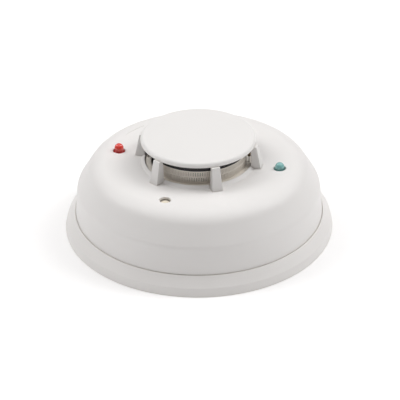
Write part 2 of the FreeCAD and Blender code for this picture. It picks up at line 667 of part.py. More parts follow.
def surge_suppressor():
    """A dipped disc that stands on edge on two legs."""
    centre_z = "board_top_z + disc_r + disc_lift"
    disc = doc.addObject("Part::Cylinder", "suppressor_disc")
    bind(disc, {"Radius": "disc_r", "Height": "disc_thick", "Placement.Base.x": "disc_x",
                "Placement.Base.y": "disc_y", "Placement.Base.z": centre_z})
    disc.Placement.Rotation = FreeCAD.Rotation(FreeCAD.Vector(0, 1, 0), 90)
    pieces = [disc]
    for count, side in enumerate(("-", "+")):
        leg = doc.addObject("Part::Cylinder", f"suppressor_leg_{count}")
        bind(leg, {"Radius": "lead_wire_r", "Height": "disc_r + disc_lift",
                   "Placement.Base.x": "disc_x + disc_thick / 2",
                   "Placement.Base.y": f"disc_y {side} disc_r / 2", "Placement.Base.z": "board_top_z"})
        pieces.append(leg)
    return node(joined("surge_suppressor", pieces), "surge_suppressor")


def chip_parts():
    """Two arcs of small surface parts round the chamber."""
    small = []
    for count in range(7):
        for arc in ("chip_arc_1", "chip_arc_2"):
            angle = f"{arc} + chip_arc_pitch * {count}"
            small.append(brick(f"{arc}_{count}", "chip_part_r", "chip_part_r + 2", "1.25", "board_top_z",
                               "board_top_z + 0.6", angle))
    return node(group("chip_parts", small), "chip_parts")


def test_switch():
    place = ("button_circle_r", "button_angle")
    case = brick("switch_case", "button_circle_r - switch_size / 2", "button_circle_r + switch_size / 2",
                 "switch_size", "board_top_z", "switch_top_z", "button_angle")
    socket = rod("switch_socket", "stem_r + stem_fit", "switch_top_z - stem_socket", "switch_top_z + 1",
                 *place)
    node(less("switch_body", case, [socket]), "switch_body")
    node(rod("switch_stem", "stem_r", "switch_top_z - stem_foot", "stem_top_z", *place), "switch_stem")
    button = rod("test_button", "test_hole_r - button_clear", "stem_top_z", "button_top_z", *place)
    node(button, "test_button")


# ---------------------------------------------------------------- cover

def front_cover():
    body = new_body("front_cover")
    bottom = ("cover_r", "cover_bottom_z")
    crease = ("crease_r", "crease_z")
    shoulder = ("shoulder_r", "shoulder_z")
    trough = ("trough_r", "trough_z")
    rim = ("throat_r + throat_land", "cover_top_z")
    throat = ("throat_r", "cover_top_z - throat_ease")
    inner_crease = mitre(bottom, crease, shoulder, "cover_wall")
    inner_shoulder = mitre(crease, shoulder, trough, "cover_wall")
    skirt_z = "ceiling_z - throat_skirt"
    shell = turn(body, [bottom, crease, shoulder, trough, rim, throat, ("throat_r", skirt_z),
                        ("throat_r + throat_wall", skirt_z), ("throat_r + throat_wall", "ceiling_z"),
                        inner_shoulder, inner_crease, ("cover_r - cover_wall", "cover_bottom_z")])
    outside = round_rings(body, shell, "shoulder_round", [shoulder])
    soft_crease = round_rings(body, outside, "crease_round", [crease])
    inside = round_rings(body, soft_crease, "shoulder_round - cover_wall", [inner_shoulder])
    round_rings(body, inside, "edge_round", [bottom])

    guide = rings(body, [("button_circle_r", "0", "test_hole_r + guide_wall")], "ceiling_z - guide_depth",
                  "button_angle")
    pad(body, guide, "guide_depth + cover_wall")
    pocket(body, rings(body, [("button_circle_r", "0", "test_hole_r")], "overall_height", "button_angle"),
           "overall_height - ceiling_z + guide_depth + 1")
    guide_bore = rings(body, [("button_circle_r", "0", "test_hole_r + guide_step")], "button_top_z + play",
                       "button_angle")
    pocket(body, guide_bore, "guide_depth + cover_wall")
    for turned in ("led_angle", "led_angle + 180"):
        hole = rings(body, [("led_circle_r", "0", "led_flange_r + led_clear")], "overall_height", turned)
        pocket(body, hole, "overall_height - ceiling_z + 1")
    rib_sketch = block(body, "housing_r - housing_wall + rib_inset", "crease_r - cover_wall * 0.6",
                       "rest_rib_width", "housing_top_z + play", "post_angle + 30")
    rib = pad(body, rib_sketch, "crease_z - housing_top_z - play")
    around(body, [rib], "rest_rib_count")
    seat = pocket(body, block(body, "throat_r - 1", "post_inner_r + post_foot_depth + foot_play",
                              "post_foot_width + 2 * foot_play", "cover_top_z + 1", "post_angle"),
                  "cover_top_z + 1 - post_foot_z + foot_play")
    peg_place = "post_inner_r + post_foot_depth * 0.6"
    hole = pocket(body, rings(body, [(peg_place, "0", "peg_r + foot_play")], "cover_top_z", "post_angle"),
                  "cover_wall + 2")
    around(body, [seat, hole], "post_count")
    return node(body, "front_cover")


def vent_cap():
    body = new_body("vent_cap")
    plate_z = "overall_height - cap_plate"
    inner = "cap_r - cap_rim"
    lower = ("cap_r", "cap_under_z")
    upper = ("cap_r", "overall_height - cap_crown")
    crown = [(f"{share} * cap_r", f"overall_height - {share * share:.4f} * cap_crown")
             for share in (0.8, 0.6, 0.4, 0.2)]
    shell = turn(body, [("0", plate_z), (inner, plate_z), (inner, "cap_under_z"), lower, upper, *crown,
                        ("0", "overall_height")])
    top = round_rings(body, shell, "cap_round", [upper])
    round_rings(body, top, "cap_lip_round", [lower])
    foot = block(body, "post_inner_r", "post_inner_r + post_foot_depth", "post_foot_width", "post_foot_z",
                 "post_angle")
    head = block(body, "post_inner_r", "post_inner_r + post_top_depth", "post_top_width",
                 "cap_under_z + foot_play", "post_angle")
    post = body.newObject("PartDesign::AdditiveLoft", "post")
    post.Profile = foot
    post.Sections = [(head, [""])]
    post.Ruled = True
    peg_place = "post_inner_r + post_foot_depth * 0.6"
    peg = pad(body, rings(body, [(peg_place, "0", "peg_r")], "post_foot_z - peg_length", "post_angle"),
              "peg_length + 0.5")
    around(body, [post, peg], "post_count")
    return node(body, "vent_cap")


mounting_base()
terminals()
lower_housing()
circuit_board()
board_screws()
contact_blades()
chamber_base()
chamber_cover()
insect_screen()
optics()
heat_sensors()
indicators()
microcontroller()
alarm_relay()
capacitors()
surge_suppressor()
chip_parts()
test_switch()
front_cover()
vent_cap()
doc.recompute()

problems = [item.Name for item in doc.Objects if "Invalid" in item.State or "Error" in item.State]
for name, thing in NODES:
    if thing.Shape.isNull() or not thing.Shape.isValid():
        problems.append(name)
if problems:
    raise RuntimeError("failed objects: " + ", ".join(problems))

for name, thing in NODES:
    thing.Shape.exportStep(f"parts/{name}.step")
    print(f"{name}: {len(thing.Shape.Solids)} solid(s), {thing.Shape.Volume / 1000:.2f} cm3")
print(len(NODES), "nodes")
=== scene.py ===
# %% [markdown]
# # A detector head on its base
# The frame comes first: it holds the real parts at their real places, in metres. Every piece made below
# stands for one of those parts and moves with the same body, so nothing is fitted by eye.

# %% Load the frame
import math

import bmesh
import bpy
from mathutils import Matrix, Vector


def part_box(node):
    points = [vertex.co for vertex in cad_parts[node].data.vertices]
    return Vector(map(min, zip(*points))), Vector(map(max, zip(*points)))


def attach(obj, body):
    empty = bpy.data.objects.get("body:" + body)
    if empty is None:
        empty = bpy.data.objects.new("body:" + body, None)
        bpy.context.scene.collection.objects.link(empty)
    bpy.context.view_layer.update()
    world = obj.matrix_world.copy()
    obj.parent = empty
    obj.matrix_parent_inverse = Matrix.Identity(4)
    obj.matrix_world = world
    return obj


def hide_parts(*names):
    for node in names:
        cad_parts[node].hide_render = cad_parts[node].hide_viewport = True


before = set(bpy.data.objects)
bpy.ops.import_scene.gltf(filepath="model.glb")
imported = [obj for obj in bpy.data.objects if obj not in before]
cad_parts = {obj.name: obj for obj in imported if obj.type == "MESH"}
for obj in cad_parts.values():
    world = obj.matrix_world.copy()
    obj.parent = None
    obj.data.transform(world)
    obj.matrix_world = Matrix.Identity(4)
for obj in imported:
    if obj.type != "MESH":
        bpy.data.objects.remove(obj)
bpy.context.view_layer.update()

# %% [markdown]
# ## Driving sizes
# A moulder's drawing gives a few ring sizes and lets the rest follow. Here the rings are read from the
# frame where a box can tell them, and the wall sizes are named in millimetres.

# %% Sizes
MM = 0.001


def reach(node):
    """Half the width of a part, in millimetres."""
    low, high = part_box(node)
    return max(high.x, high.y, -low.x, -low.y) / MM


def height(node):
    """The lowest and highest level of a part, in millimetres."""
    low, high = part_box(node)
    return low.z / MM, high.z / MM


BASE_R = reach("mounting_base")
LIP_R = BASE_R - 5.3
LIP_Z = 8.8
COVER_R, COVER_WALL, HOUSING_GAP = LIP_R - 0.3, 2.0, 1.7
CREASE = (COVER_R - 1.4, 22.5)
FLANGE_R = reach("insect_screen")
THROAT_R = FLANGE_R + 0.33
COVER_BOTTOM, COVER_TOP = height("front_cover")
SHOULDER = (CREASE[0] - 8.7, COVER_TOP - 0.55)
TROUGH = (THROAT_R + 2.17, COVER_TOP - 1.4)
CAP_R = THROAT_R + 2.0
CAP_TOP = height("vent_cap")[1]
CAP_UNDER = CAP_TOP - 3.76
SCREEN_R = reach("chamber_base")
SCREEN_LOW, SCREEN_HIGH = height("insect_screen")
POST_ANGLES = [46.5 + 60 * step for step in range(6)]
BAY_START, BAY_SPAN = -15.0, 55.0
TERMINAL_R, TERMINAL_ANGLES = 41.5, (28, 62, 135, 225, 315)
BLADE_NEAR, BLADE_R, BLADE_FAR = 46.6, 47.0, 47.4
BOARD_SCREW_R, SCREW_ANGLES = 34.0, (75.0, 195.0, 315.0)
SENSOR_ANGLE = -7.0
CAN_R, CAN_ANGLES = 38.0, (205.0, 222.0)
RELAY_NEAR, RELAY_FAR, RELAY_WIDTH, RELAY_ANGLE = 33.0, 43.0, 15.0, 135.0
CHIP_NEAR, CHIP_FAR, CHIP_WIDTH, CHIP_ANGLE = 33.0, 40.0, 7.0, 100.0
DISC_X, DISC_Y, DISC_R, DISC_LEGS = 36.0, 14.0, 4.5, (-2.25, 2.25)
EMITTER_ANGLE, DIODE_ANGLE = 200.0, 60.0
SWITCH_HALF, RIVETS = 3.1, (-2.25, 2.25)
PART_ARCS, PART_PITCH, PART_COUNT = (262.0, 144.0), 7.0, 7
print(f"base {BASE_R:.1f}, cover {COVER_R:.1f}, throat {THROAT_R:.2f}, cap {CAP_R:.2f} mm")

# %% [markdown]
# ## Camera, light and floor
# A white moulding is lit from above by one very large soft source and by a softbox on each side, a little
# behind it. The top then reads lightest and each facet a step darker, the two boxes leave a pair of small
# highlights on every glossy dome, and the pale floor fades into the background.

# %% Camera
CAMERA_DISTANCE = 0.760
CAMERA_ELEVATION = math.radians(32.365)
AIM_YAW, AIM_PITCH, AIM_ROLL = -0.00057, 0.01372, 0.00965
LENS = 135.25


def add_camera():
    place = Vector((0, -math.cos(CAMERA_ELEVATION), math.sin(CAMERA_ELEVATION))) * CAMERA_DISTANCE
    ahead = -place.normalized()
    right = ahead.cross(Vector((0, 0, 1))).normalized()
    up = right.cross(ahead)
    for angle, axis in ((AIM_YAW, up), (AIM_PITCH, right), (AIM_ROLL, ahead)):
        turned = Matrix.Rotation(angle, 3, axis)
        ahead, right = turned @ ahead, turned @ right
        up = right.cross(ahead)
    camera = bpy.data.objects.new("camera", bpy.data.cameras.new("camera"))
    camera.data.lens = LENS
    camera.data.sensor_width = 36
    camera.data.clip_start = 0.01
    pose = Matrix((right, up, -ahead)).transposed().to_4x4()
    pose.translation = place
    camera.matrix_world = pose
    bpy.context.scene.collection.objects.link(camera)
    bpy.context.scene.camera = camera


add_camera()
bpy.context.scene.view_settings.view_transform = "Standard"
print("camera at", [round(x, 3) for x in bpy.context.scene.camera.location])

# %% [markdown]
# The lights are large and soft, as in a light tent. The floor is plain white paper that glows very slightly,
# so it stays white where the head shades it.

# %% Light and floor
ROOM_GLOW = 0.14
LIGHT_TARGET = Vector((0, 0, 0.02))
FLOOR_HALF = 3.0


def add_light(name, place, size, power):
    lamp = bpy.data.lights.new(name, "AREA")
    lamp.size = size
    lamp.energy = power
    lamp_object = bpy.data.objects.new(name, lamp)
    lamp_object.location = place
    lamp_object.rotation_euler = (LIGHT_TARGET - Vector(place)).to_track_quat("-Z", "Y").to_euler()
    bpy.context.scene.collection.objects.link(lamp_object)


world = bpy.data.worlds.new("room")
bpy.context.scene.world = world
world.use_nodes = True
room = world.node_tree.nodes["Background"]
room.inputs["Color"].default_value = (1.0, 0.94, 0.93, 1)
room.inputs["Strength"].default_value = ROOM_GLOW
add_light("overhead", (0, 0.50, 4.0), 5.0, 106)
for side, power in ((-1, 36), (1, 45)):
    add_light("softbox", (2.4 * side, 0.63, 2.45), 1.6, power)


def add_floor():
    mesh = bpy.data.meshes.new("floor")
    corners = [(x * FLOOR_HALF, y * FLOOR_HALF, 0) for x, y in ((-1, -1), (1, -1), (1, 1), (-1, 1))]
    mesh.from_pydata(corners, [], [(0, 1, 2, 3)])
    floor = bpy.data.objects.new("floor", mesh)
    bpy.context.scene.collection.objects.link(floor)
    paint = bpy.data.materials.new("floor_paper")
    paint.use_nodes = True
    shader = paint.node_tree.nodes["Principled BSDF"]
    shader.inputs["Base Color"].default_value = (1.0, 1.0, 1.0, 1)
    shader.inputs["Roughness"].default_value = 0.9
    shader.inputs["Specular IOR Level"].default_value = 0.1
    shader.inputs["Emission Color"].default_value = (1.0, 0.97, 0.965, 1)
    shader.inputs["Emission Strength"].default_value = 0.07
    mesh.materials.append(paint)


add_floor()

# %% [markdown]
# ## Mesh helpers
# Most of these parts are turned shapes, so one lathe makes them: an outline of radius and height, swept
# round the axis. Corners are rounded in the outline itself, which keeps the rings of the mesh clean and the
# shading smooth. Holes are cut afterwards with a boolean.

# %% Outlines
ROUND_STEPS = 11


def rounded(corners):
    """Outline points from corners (radius, height, rounding), each rounding drawn as an arc."""
    points = []
    for index, (r, z, size) in enumerate(corners):
        here = Vector((r, z))
        if size <= 0:
            points.append(here)
            continue
        back = Vector(corners[index - 1][:2]) - here
        ahead = Vector(corners[(index + 1) % len(corners)][:2]) - here
        half = back.angle(ahead) / 2
        run = size / math.tan(half)
        centre = here + (back.normalized() + ahead.normalized()).normalized() * size / math.sin(half)
        start = here + back.normalized() * run - centre
        end = here + ahead.normalized() * run - centre
        sweep = start.angle_signed(end)
        steps = max(2, round(ROUND_STEPS * abs(sweep)))
        for step in range(steps + 1):
            points.append(centre + Matrix.Rotation(-sweep * step / steps, 2) @ start)
    return points


# %% [markdown]
# The lathe joins each ring of points to the next, so the mesh is closed and its edges are sharp only where
# the outline turns sharply. A part of a turn gets two flat end faces.

# %% Turning
SHARP_ANGLE = 32.0


def finish_mesh(name, mesh_edit):
    """Put a finished bmesh into an object, smooth except across real edges."""
    bmesh.ops.recalc_face_normals(mesh_edit, faces=mesh_edit.faces)
    mesh = bpy.data.meshes.new(name)
    mesh_edit.to_mesh(mesh)
    mesh_edit.free()
    mesh.shade_smooth()
    mesh.set_sharp_from_angle(angle=math.radians(SHARP_ANGLE))
    piece = bpy.data.objects.new(name, mesh)
    bpy.context.scene.collection.objects.link(piece)
    return piece


def sweep_rings(mesh_edit, points, segments, start=0.0, span=360.0):
    """Faces of a closed outline swept round the axis; points on the axis become one vertex."""
    whole = span >= 359.999
    columns = segments if whole else segments + 1
    rings = []
    for r, z in points:
        if abs(r) < 1e-9:
            rings.append([mesh_edit.verts.new((0, 0, z * MM))] * columns)
            continue
        ring = []
        for step in range(columns):
            angle = math.radians(start + span * step / segments)
            ring.append(mesh_edit.verts.new((r * MM * math.cos(angle), r * MM * math.sin(angle), z * MM)))
        rings.append(ring)
    for index, ring in enumerate(rings):
        above = rings[(index + 1) % len(rings)]
        for step in range(segments):
            other = (step + 1) % columns
            corners = [ring[step], ring[other], above[other], above[step]]
            face = list(dict.fromkeys(corners))
            if len(face) > 2:
                mesh_edit.faces.new(face)
    if not whole:
        mesh_edit.faces.new([ring[0] for ring in rings])
        mesh_edit.faces.new([ring[-1] for ring in reversed(rings)])


def turned(name, corners, segments=160, start=0.0, span=360.0):
    """A turned piece from a closed outline of (radius, height, rounding) corners."""
    mesh_edit = bmesh.new()
    sweep_rings(mesh_edit, rounded(corners), segments, start, span)
    return finish_mesh(name, mesh_edit)


# %% [markdown]
# Ribs, feet and cutters are blocks, some of them tapered. They are made beside the axis and turned into
# place. Shells are welded and cut with booleans, and smoothed afterwards.

# %% Blocks and cutters
def shaped_block(name, low, high, bevel=0.0, angle=0.0):
    """A tapered block: low and high are (near, far, width, level); the angle turns it about the axis."""
    mesh_edit = bmesh.new()
    rows = []
    for near, far, width, level in (low, high):
        corners = [(near, -width / 2), (far, -width / 2), (far, width / 2), (near, width / 2)]
        rows.append([mesh_edit.verts.new((x * MM, y * MM, level * MM)) for x, y in corners])
    mesh_edit.faces.new(rows[0][::-1])
    mesh_edit.faces.new(rows[1])
    for side in range(4):
        other = (side + 1) % 4
        mesh_edit.faces.new([rows[0][side], rows[0][other], rows[1][other], rows[1][side]])
    if bevel:
        bmesh.ops.bevel(mesh_edit, geom=list(mesh_edit.edges), offset=bevel * MM, segments=2,
                        profile=0.5, affect="EDGES")
    bmesh.ops.rotate(mesh_edit, verts=mesh_edit.verts, matrix=Matrix.Rotation(math.radians(angle), 3, "Z"))
    return finish_mesh(name, mesh_edit)


def brick(name, near, far, width, bottom, top, angle=0.0, sideways=0.0, bevel=0.2):
    """A box from radius near to far with softened edges."""
    piece = shaped_block(name, (near, far, width, bottom), (near, far, width, top), bevel)
    turn = Matrix.Rotation(math.radians(angle), 4, "Z")
    piece.data.transform(turn @ Matrix.Translation((0, sideways * MM, 0)))
    return piece


def moved(piece, radius, angle, level=0.0, sideways=0.0):
    """Shift a piece made on the axis out to a radius and angle."""
    turn = Matrix.Rotation(math.radians(angle), 4, "Z")
    piece.data.transform(turn @ Matrix.Translation((radius * MM, sideways * MM, level * MM)))
    return piece


def bake_modifiers(piece):
    """Apply the modifiers of a piece to its mesh."""
    bpy.context.view_layer.update()
    result = bpy.data.meshes.new_from_object(piece.evaluated_get(bpy.context.evaluated_depsgraph_get()))
    piece.modifiers.clear()
    old = piece.data
    piece.data = result
    bpy.data.meshes.remove(old)
    return piece


def boolean(piece, tool, operation):
    """Add a tool to a piece or cut it away, then drop the tool."""
    change = piece.modifiers.new("change", "BOOLEAN")
    change.operation = operation
    change.solver = "EXACT"
    change.object = tool
    bake_modifiers(piece)
    bpy.data.objects.remove(tool)
    return piece


def joined(name, pieces):
    """Several closed shells kept in one mesh."""
    mesh_edit = bmesh.new()
    for piece in pieces:
        mesh_edit.from_mesh(piece.data)
        bpy.data.objects.remove(piece)
    return finish_mesh(name, mesh_edit)


def add(piece, tools):
    """Weld one piece or a list of pieces to a piece."""
    return boolean(piece, joined("tools", tools) if isinstance(tools, list) else tools, "UNION")


def cut(piece, tools):
    """Cut one piece or a list of pieces away from a piece."""
    return boolean(piece, joined("tools", tools) if isinstance(tools, list) else tools, "DIFFERENCE")


def soften(piece, sharp=SHARP_ANGLE):
    """Smooth shading led by the large faces, so that a flat stays flat right up to a cut."""
    piece.data.shade_smooth()
    piece.data.set_sharp_from_angle(angle=math.radians(sharp))
    weigh = piece.modifiers.new("weigh", "WEIGHTED_NORMAL")
    weigh.keep_sharp = True
    return bake_modifiers(piece)


def place(piece, body, slot, nodes, material):
    """Give a finished piece its body, the parts it stands for and its material; the slot argument is not
    used.
    """
    piece.data.materials.clear()
    piece.data.materials.append(material)
    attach(piece, body)
    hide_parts(*nodes)
    print(f"{piece.name}: {len(piece.data.polygons)} faces, rides on {body}")
    return piece


# %% [markdown]
# ## A round hole with an eased edge
# A moulded hole never has a knife edge: the tool leaves a small radius that catches the light. The cutter
# for it is a pin with a flared skirt. Where the surface slopes, the pin is tilted with it, so the flare is
# even all the way round.

# %% Hole cutters
LIP_STEPS = 5


def pin(name, radius, low, high, segments=48):
    """A plain upright pin between two levels, centred on the axis."""
    return turned(name, [(0, low, 0), (radius, low, 0), (radius, high, 0), (0, high, 0)], segments)


def lipped_pin(name, radius, ease, depth):
    """A cutter whose skirt leaves a rounded edge where it leaves the surface, at level 0."""
    points = [(0, -depth), (radius, -depth)]
    for step in range(LIP_STEPS + 1):
        angle = math.pi / 2 * step / LIP_STEPS
        points.append((radius + ease * (1 - math.cos(angle)), -ease + ease * math.sin(angle)))
    points += [(radius + ease, 2.0), (0, 2.0)]
    return turned(name, [(r, z, 0) for r, z in points], 64)


def tilted(piece, slope):
    """Tip a cutter inwards to stand square on a surface that rises away from the axis."""
    piece.data.transform(Matrix.Rotation(-math.atan(slope), 4, "Y"))
    return piece


TOP_SLOPE = (SHOULDER[1] - TROUGH[1]) / (SHOULDER[0] - TROUGH[0])


def top_level(radius):
    """Height of the dished top of the cover at a radius."""
    return TROUGH[1] + (radius - TROUGH[0]) * TOP_SLOPE


print(f"cover top rises {TOP_SLOPE:.3f} per millimetre outwards")

# %% [markdown]
# ## Shared finishes as node groups
# Nearly every surface here is moulded plastic, so the skin of a moulding is worth one careful node group:
# a spark-eroded grain far below a millimetre, and a faint cloudiness tens of millimetres wide where the
# melt flowed. It gives colour, roughness and height, and each material sets its own amounts.

# %% Wiring helpers
class Wiring:
    """Short hand for adding nodes to a tree and linking them."""

    def __init__(self, tree):
        self.tree = tree

    def node(self, kind, settings=None, **inputs):
        made = self.tree.nodes.new(kind)
        for key, setting in (settings or {}).items():
            setattr(made, key, setting)
        for key, source in inputs.items():
            self.feed(source, made.inputs[key.replace("_", " ")])
        return made

    def feed(self, source, socket):
        if isinstance(source, bpy.types.NodeSocket):
            self.tree.links.new(source, socket)
        else:
            socket.default_value = source

    def math(self, operation, first, second=0.0):
        made = self.node("ShaderNodeMath", {"operation": operation})
        self.feed(first, made.inputs[0])
        self.feed(second, made.inputs[1])
        return made.outputs[0]

    def remap(self, source, low, high, new_low, new_high):
        made = self.node("ShaderNodeMapRange", {"clamp": True})
        for index, item in enumerate((source, low, high, new_low, new_high)):
            self.feed(item, made.inputs[index])
        return made.outputs[0]

    def blend(self, factor, first, second, kind="MIX"):
        made = self.node("ShaderNodeMix", {"data_type": "RGBA", "blend_type": kind})
        self.feed(factor, made.inputs[0])
        self.feed(first, made.inputs[6])
        self.feed(second, made.inputs[7])
        return made.outputs[2]

    def noise(self, scale, detail=2.0, place=None):
        place = place or self.object_place()
        made = self.node("ShaderNodeTexNoise", Vector=place, Scale=scale, Detail=detail)
        return made.outputs["Fac"]

    def object_place(self):
        return self.node("ShaderNodeTexCoord").outputs["Object"]


def new_group(name, inputs, outputs):
    """An empty shader group with named sockets; returns its wiring, its inputs and its output node."""
    group = bpy.data.node_groups.new(name, "ShaderNodeTree")
    for socket, kind, start in inputs:
        made = group.interface.new_socket(name=socket, in_out="INPUT", socket_type="NodeSocket" + kind)
        made.default_value = start
    for socket, kind in outputs:
        group.interface.new_socket(name=socket, in_out="OUTPUT", socket_type="NodeSocket" + kind)
    wiring = Wiring(group)
    return wiring, wiring.node("NodeGroupInput").outputs, wiring.node("NodeGroupOutput").inputs


# %% [markdown]
# The first group is the skin itself: a fine grain for the height and a broad cloud for the colour. The
# roughness varies in patches and with the grain, so no surface is one flat value.

# %% Moulded skin
def make_moulded_skin():
    inputs = [("Colour", "Color", (0.8, 0.8, 0.8, 1)), ("Grain Size", "Float", 0.3),
              ("Cloud", "Float", 0.03), ("Roughness", "Float", 0.5)]
    wiring, given, out = new_group("moulded_skin", inputs, [("Colour", "Color"), ("Roughness", "Float"),
                                                            ("Height", "Float")])
    per_metre = wiring.math("DIVIDE", 1 / MM, given["Grain Size"])
    spark = wiring.node("ShaderNodeTexVoronoi", {"feature": "SMOOTH_F1"}, Vector=wiring.object_place(),
                        Scale=per_metre, Smoothness=0.6).outputs["Distance"]
    fine = wiring.noise(per_metre, 3.0)
    height = wiring.math("ADD", wiring.math("MULTIPLY", spark, 0.6), wiring.math("MULTIPLY", fine, 0.6))
    cloud = wiring.math("SUBTRACT", wiring.noise(28.0, 3.0), 0.5)
    pale = wiring.math("ADD", 1.0, wiring.math("MULTIPLY", cloud, given["Cloud"]))
    shade = wiring.node("ShaderNodeCombineColor", Red=pale, Green=pale, Blue=pale).outputs[0]
    wiring.feed(wiring.blend(1.0, given["Colour"], shade, "MULTIPLY"), out["Colour"])
    patch = wiring.remap(wiring.noise(90.0, 2.0), 0.3, 0.7, -0.05, 0.05)
    grain_gloss = wiring.remap(fine, 0.3, 0.7, -0.04, 0.04)
    varied = wiring.math("ADD", given["Roughness"], wiring.math("ADD", patch, grain_gloss))
    wiring.feed(varied, out["Roughness"])
    wiring.feed(height, out["Height"])
    return wiring.tree


MOULDED_SKIN = make_moulded_skin()
print("group:", MOULDED_SKIN.name)

# %% [markdown]
# The second group paints shade into the seams. An ambient occlusion node finds close walls whatever the mesh
# looks like, and gives a mask with soft, broken edges that pulls the colour towards a warm beige. That beige
# stands in for the warmer bounced light and shade in these corners, and for the dust that settles there.

# %% Painted seam shade and dust
def make_seam_shade_and_dust():
    inputs = [("Reach", "Float", 1.2), ("Amount", "Float", 0.6)]
    wiring, given, out = new_group("seam_shade_and_dust", inputs, [("Mask", "Float")])
    span = wiring.math("MULTIPLY", given["Reach"], MM)
    # painted shade: corners that the occlusion node finds are marked for a warm beige tint
    corner = wiring.node("ShaderNodeAmbientOcclusion", {"samples": 8}, Distance=span).outputs["AO"]
    closed = wiring.remap(corner, 0.35, 0.92, 1.0, 0.0)
    broken = wiring.remap(wiring.noise(420.0, 3.0), 0.25, 0.75, 0.75, 1.0)
    mask = wiring.math("MULTIPLY", wiring.math("MULTIPLY", closed, broken), given["Amount"])
    wiring.feed(mask, out["Mask"])
    return wiring.tree


SEAM_SHADE_AND_DUST = make_seam_shade_and_dust()
print("group:", SEAM_SHADE_AND_DUST.name)

# %% [markdown]
# Sheet metal, screws and leads are drawn, stamped and plated. Their streaks run along the part and their
# plating is cloudy, so the third group stretches one noise along an axis and lays a wider one over it.

# %% Drawn metal
def make_drawn_metal():
    inputs = [("Colour", "Color", (0.7, 0.7, 0.7, 1)), ("Tarnish", "Color", (0.4, 0.35, 0.3, 1)),
              ("Stretch", "Vector", (1, 1, 1)), ("Roughness", "Float", 0.3)]
    wiring, given, out = new_group("drawn_metal", inputs, [("Colour", "Color"), ("Roughness", "Float"),
                                                           ("Height", "Float")])
    stretched = wiring.node("ShaderNodeVectorMath", {"operation": "MULTIPLY"})
    wiring.feed(wiring.object_place(), stretched.inputs[0])
    wiring.feed(given["Stretch"], stretched.inputs[1])
    streak = wiring.noise(1500.0, 2.0, stretched.outputs[0])
    stain = wiring.remap(wiring.noise(300.0, 4.0), 0.5, 0.75, 0.0, 0.45)
    wiring.feed(wiring.blend(stain, given["Colour"], given["Tarnish"]), out["Colour"])
    shine = wiring.remap(streak, 0.3, 0.7, -0.08, 0.08)
    gloss = wiring.math("ADD", shine, wiring.math("MULTIPLY", stain, 0.3))
    wiring.feed(wiring.math("ADD", given["Roughness"], gloss), out["Roughness"])
    wiring.feed(streak, out["Height"])
    return wiring.tree


DRAWN_METAL = make_drawn_metal()
print("group:", DRAWN_METAL.name)

# %% [markdown]
# ## Materials
# The functions below place the groups in a material and feed the Principled shader. Numbers that are the
# same all over, such as the coat of a glossy part, are set on the shader's own sockets.

# %% Moulded plastics
# Warm beige painted into the seams, as shade and as dust.
SEAM_SHADE_AND_DUST_TINT = (0.50, 0.43, 0.32, 1)


def new_material(name, **constants):
    """A material with its wiring and its shader's inputs; constants go straight to the shader."""
    material = bpy.data.materials.new(name)
    material.use_nodes = True
    shader = material.node_tree.nodes["Principled BSDF"].inputs
    for socket, amount in constants.items():
        shader[socket.replace("_", " ")].default_value = amount
    return material, Wiring(material.node_tree), shader


def bump(wiring, shader, height, depth):
    """Feed a height, in millimetres of depth, to the normal."""
    ridge = wiring.node("ShaderNodeBump", Strength=1.0, Distance=depth * MM, Height=height)
    wiring.feed(ridge.outputs["Normal"], shader["Normal"])


def skin(wiring, colour, roughness, grain, cloud):
    """The moulded skin group with its values; returns its outputs."""
    made = wiring.node("ShaderNodeGroup", {"node_tree": MOULDED_SKIN}, Colour=(*colour, 1), Grain_Size=grain,
                       Cloud=cloud, Roughness=roughness)
    return made.outputs


def plastic(name, colour, roughness, grain, depth, cloud, shade_and_dust, reach=1.2, **constants):
    """Moulded plastic: a grained skin with painted shade and dust in its seams."""
    material, wiring, shader = new_material(name, **constants)
    face = skin(wiring, colour, roughness, grain, cloud)
    mask = wiring.node("ShaderNodeGroup", {"node_tree": SEAM_SHADE_AND_DUST}, Reach=reach, Amount=shade_and_dust).outputs["Mask"]
    # painted shade and dust: the seam mask pulls the skin colour towards the warm beige
    wiring.feed(wiring.blend(mask, face["Colour"], SEAM_SHADE_AND_DUST_TINT), shader["Base Color"])
    wiring.feed(face["Roughness"], shader["Roughness"])
    bump(wiring, shader, face["Height"], depth)
    return material


COVER_WHITE = (0.865, 0.850, 0.835)
cover_plastic = plastic("cover_plastic", COVER_WHITE, 0.48, 0.28, 0.006, 0.03, 0.3, 1.4)
cap_plastic = plastic("cap_plastic", (0.885, 0.872, 0.856), 0.45, 0.28, 0.006, 0.025, 0.3, 1.2)
base_plastic = plastic("base_plastic", (0.875, 0.858, 0.840), 0.45, 0.30, 0.007, 0.035, 0.4, 1.2)
housing_plastic = plastic("housing_plastic", (0.80, 0.785, 0.755), 0.5, 0.35, 0.010, 0.05, 0.5)
screen_nylon = plastic("screen_nylon", (0.90, 0.85, 0.77), 0.38, 0.18, 0.006, 0.06, 0.25, 1.0)
chamber_black = plastic("chamber_black", (0.012, 0.011, 0.013), 0.55, 0.35, 0.020, 0.2, 0.15)
switch_black = plastic("switch_black", (0.02, 0.02, 0.022), 0.4, 0.15, 0.004, 0.1, 0.3)
stem_brown = plastic("stem_brown", (0.10, 0.045, 0.02), 0.35, 0.15, 0.004, 0.1, 0.3)
button_beige = plastic("button_beige", (0.80, 0.73, 0.60), 0.45, 0.2, 0.005, 0.05, 0.15)
spacer_nylon = plastic("spacer_nylon", (0.72, 0.70, 0.64), 0.35, 0.2, 0.005, 0.08, 0.4,
                       Subsurface_Weight=0.1, Subsurface_Scale=0.001)
print("plastics made")

# %% [markdown]
# The metals share one function too. Each one sets its colour, its tarnish and how far the streaks of drawing
# or stamping are stretched along the part.

# %% Metals
STREAK_DEPTH = 0.004


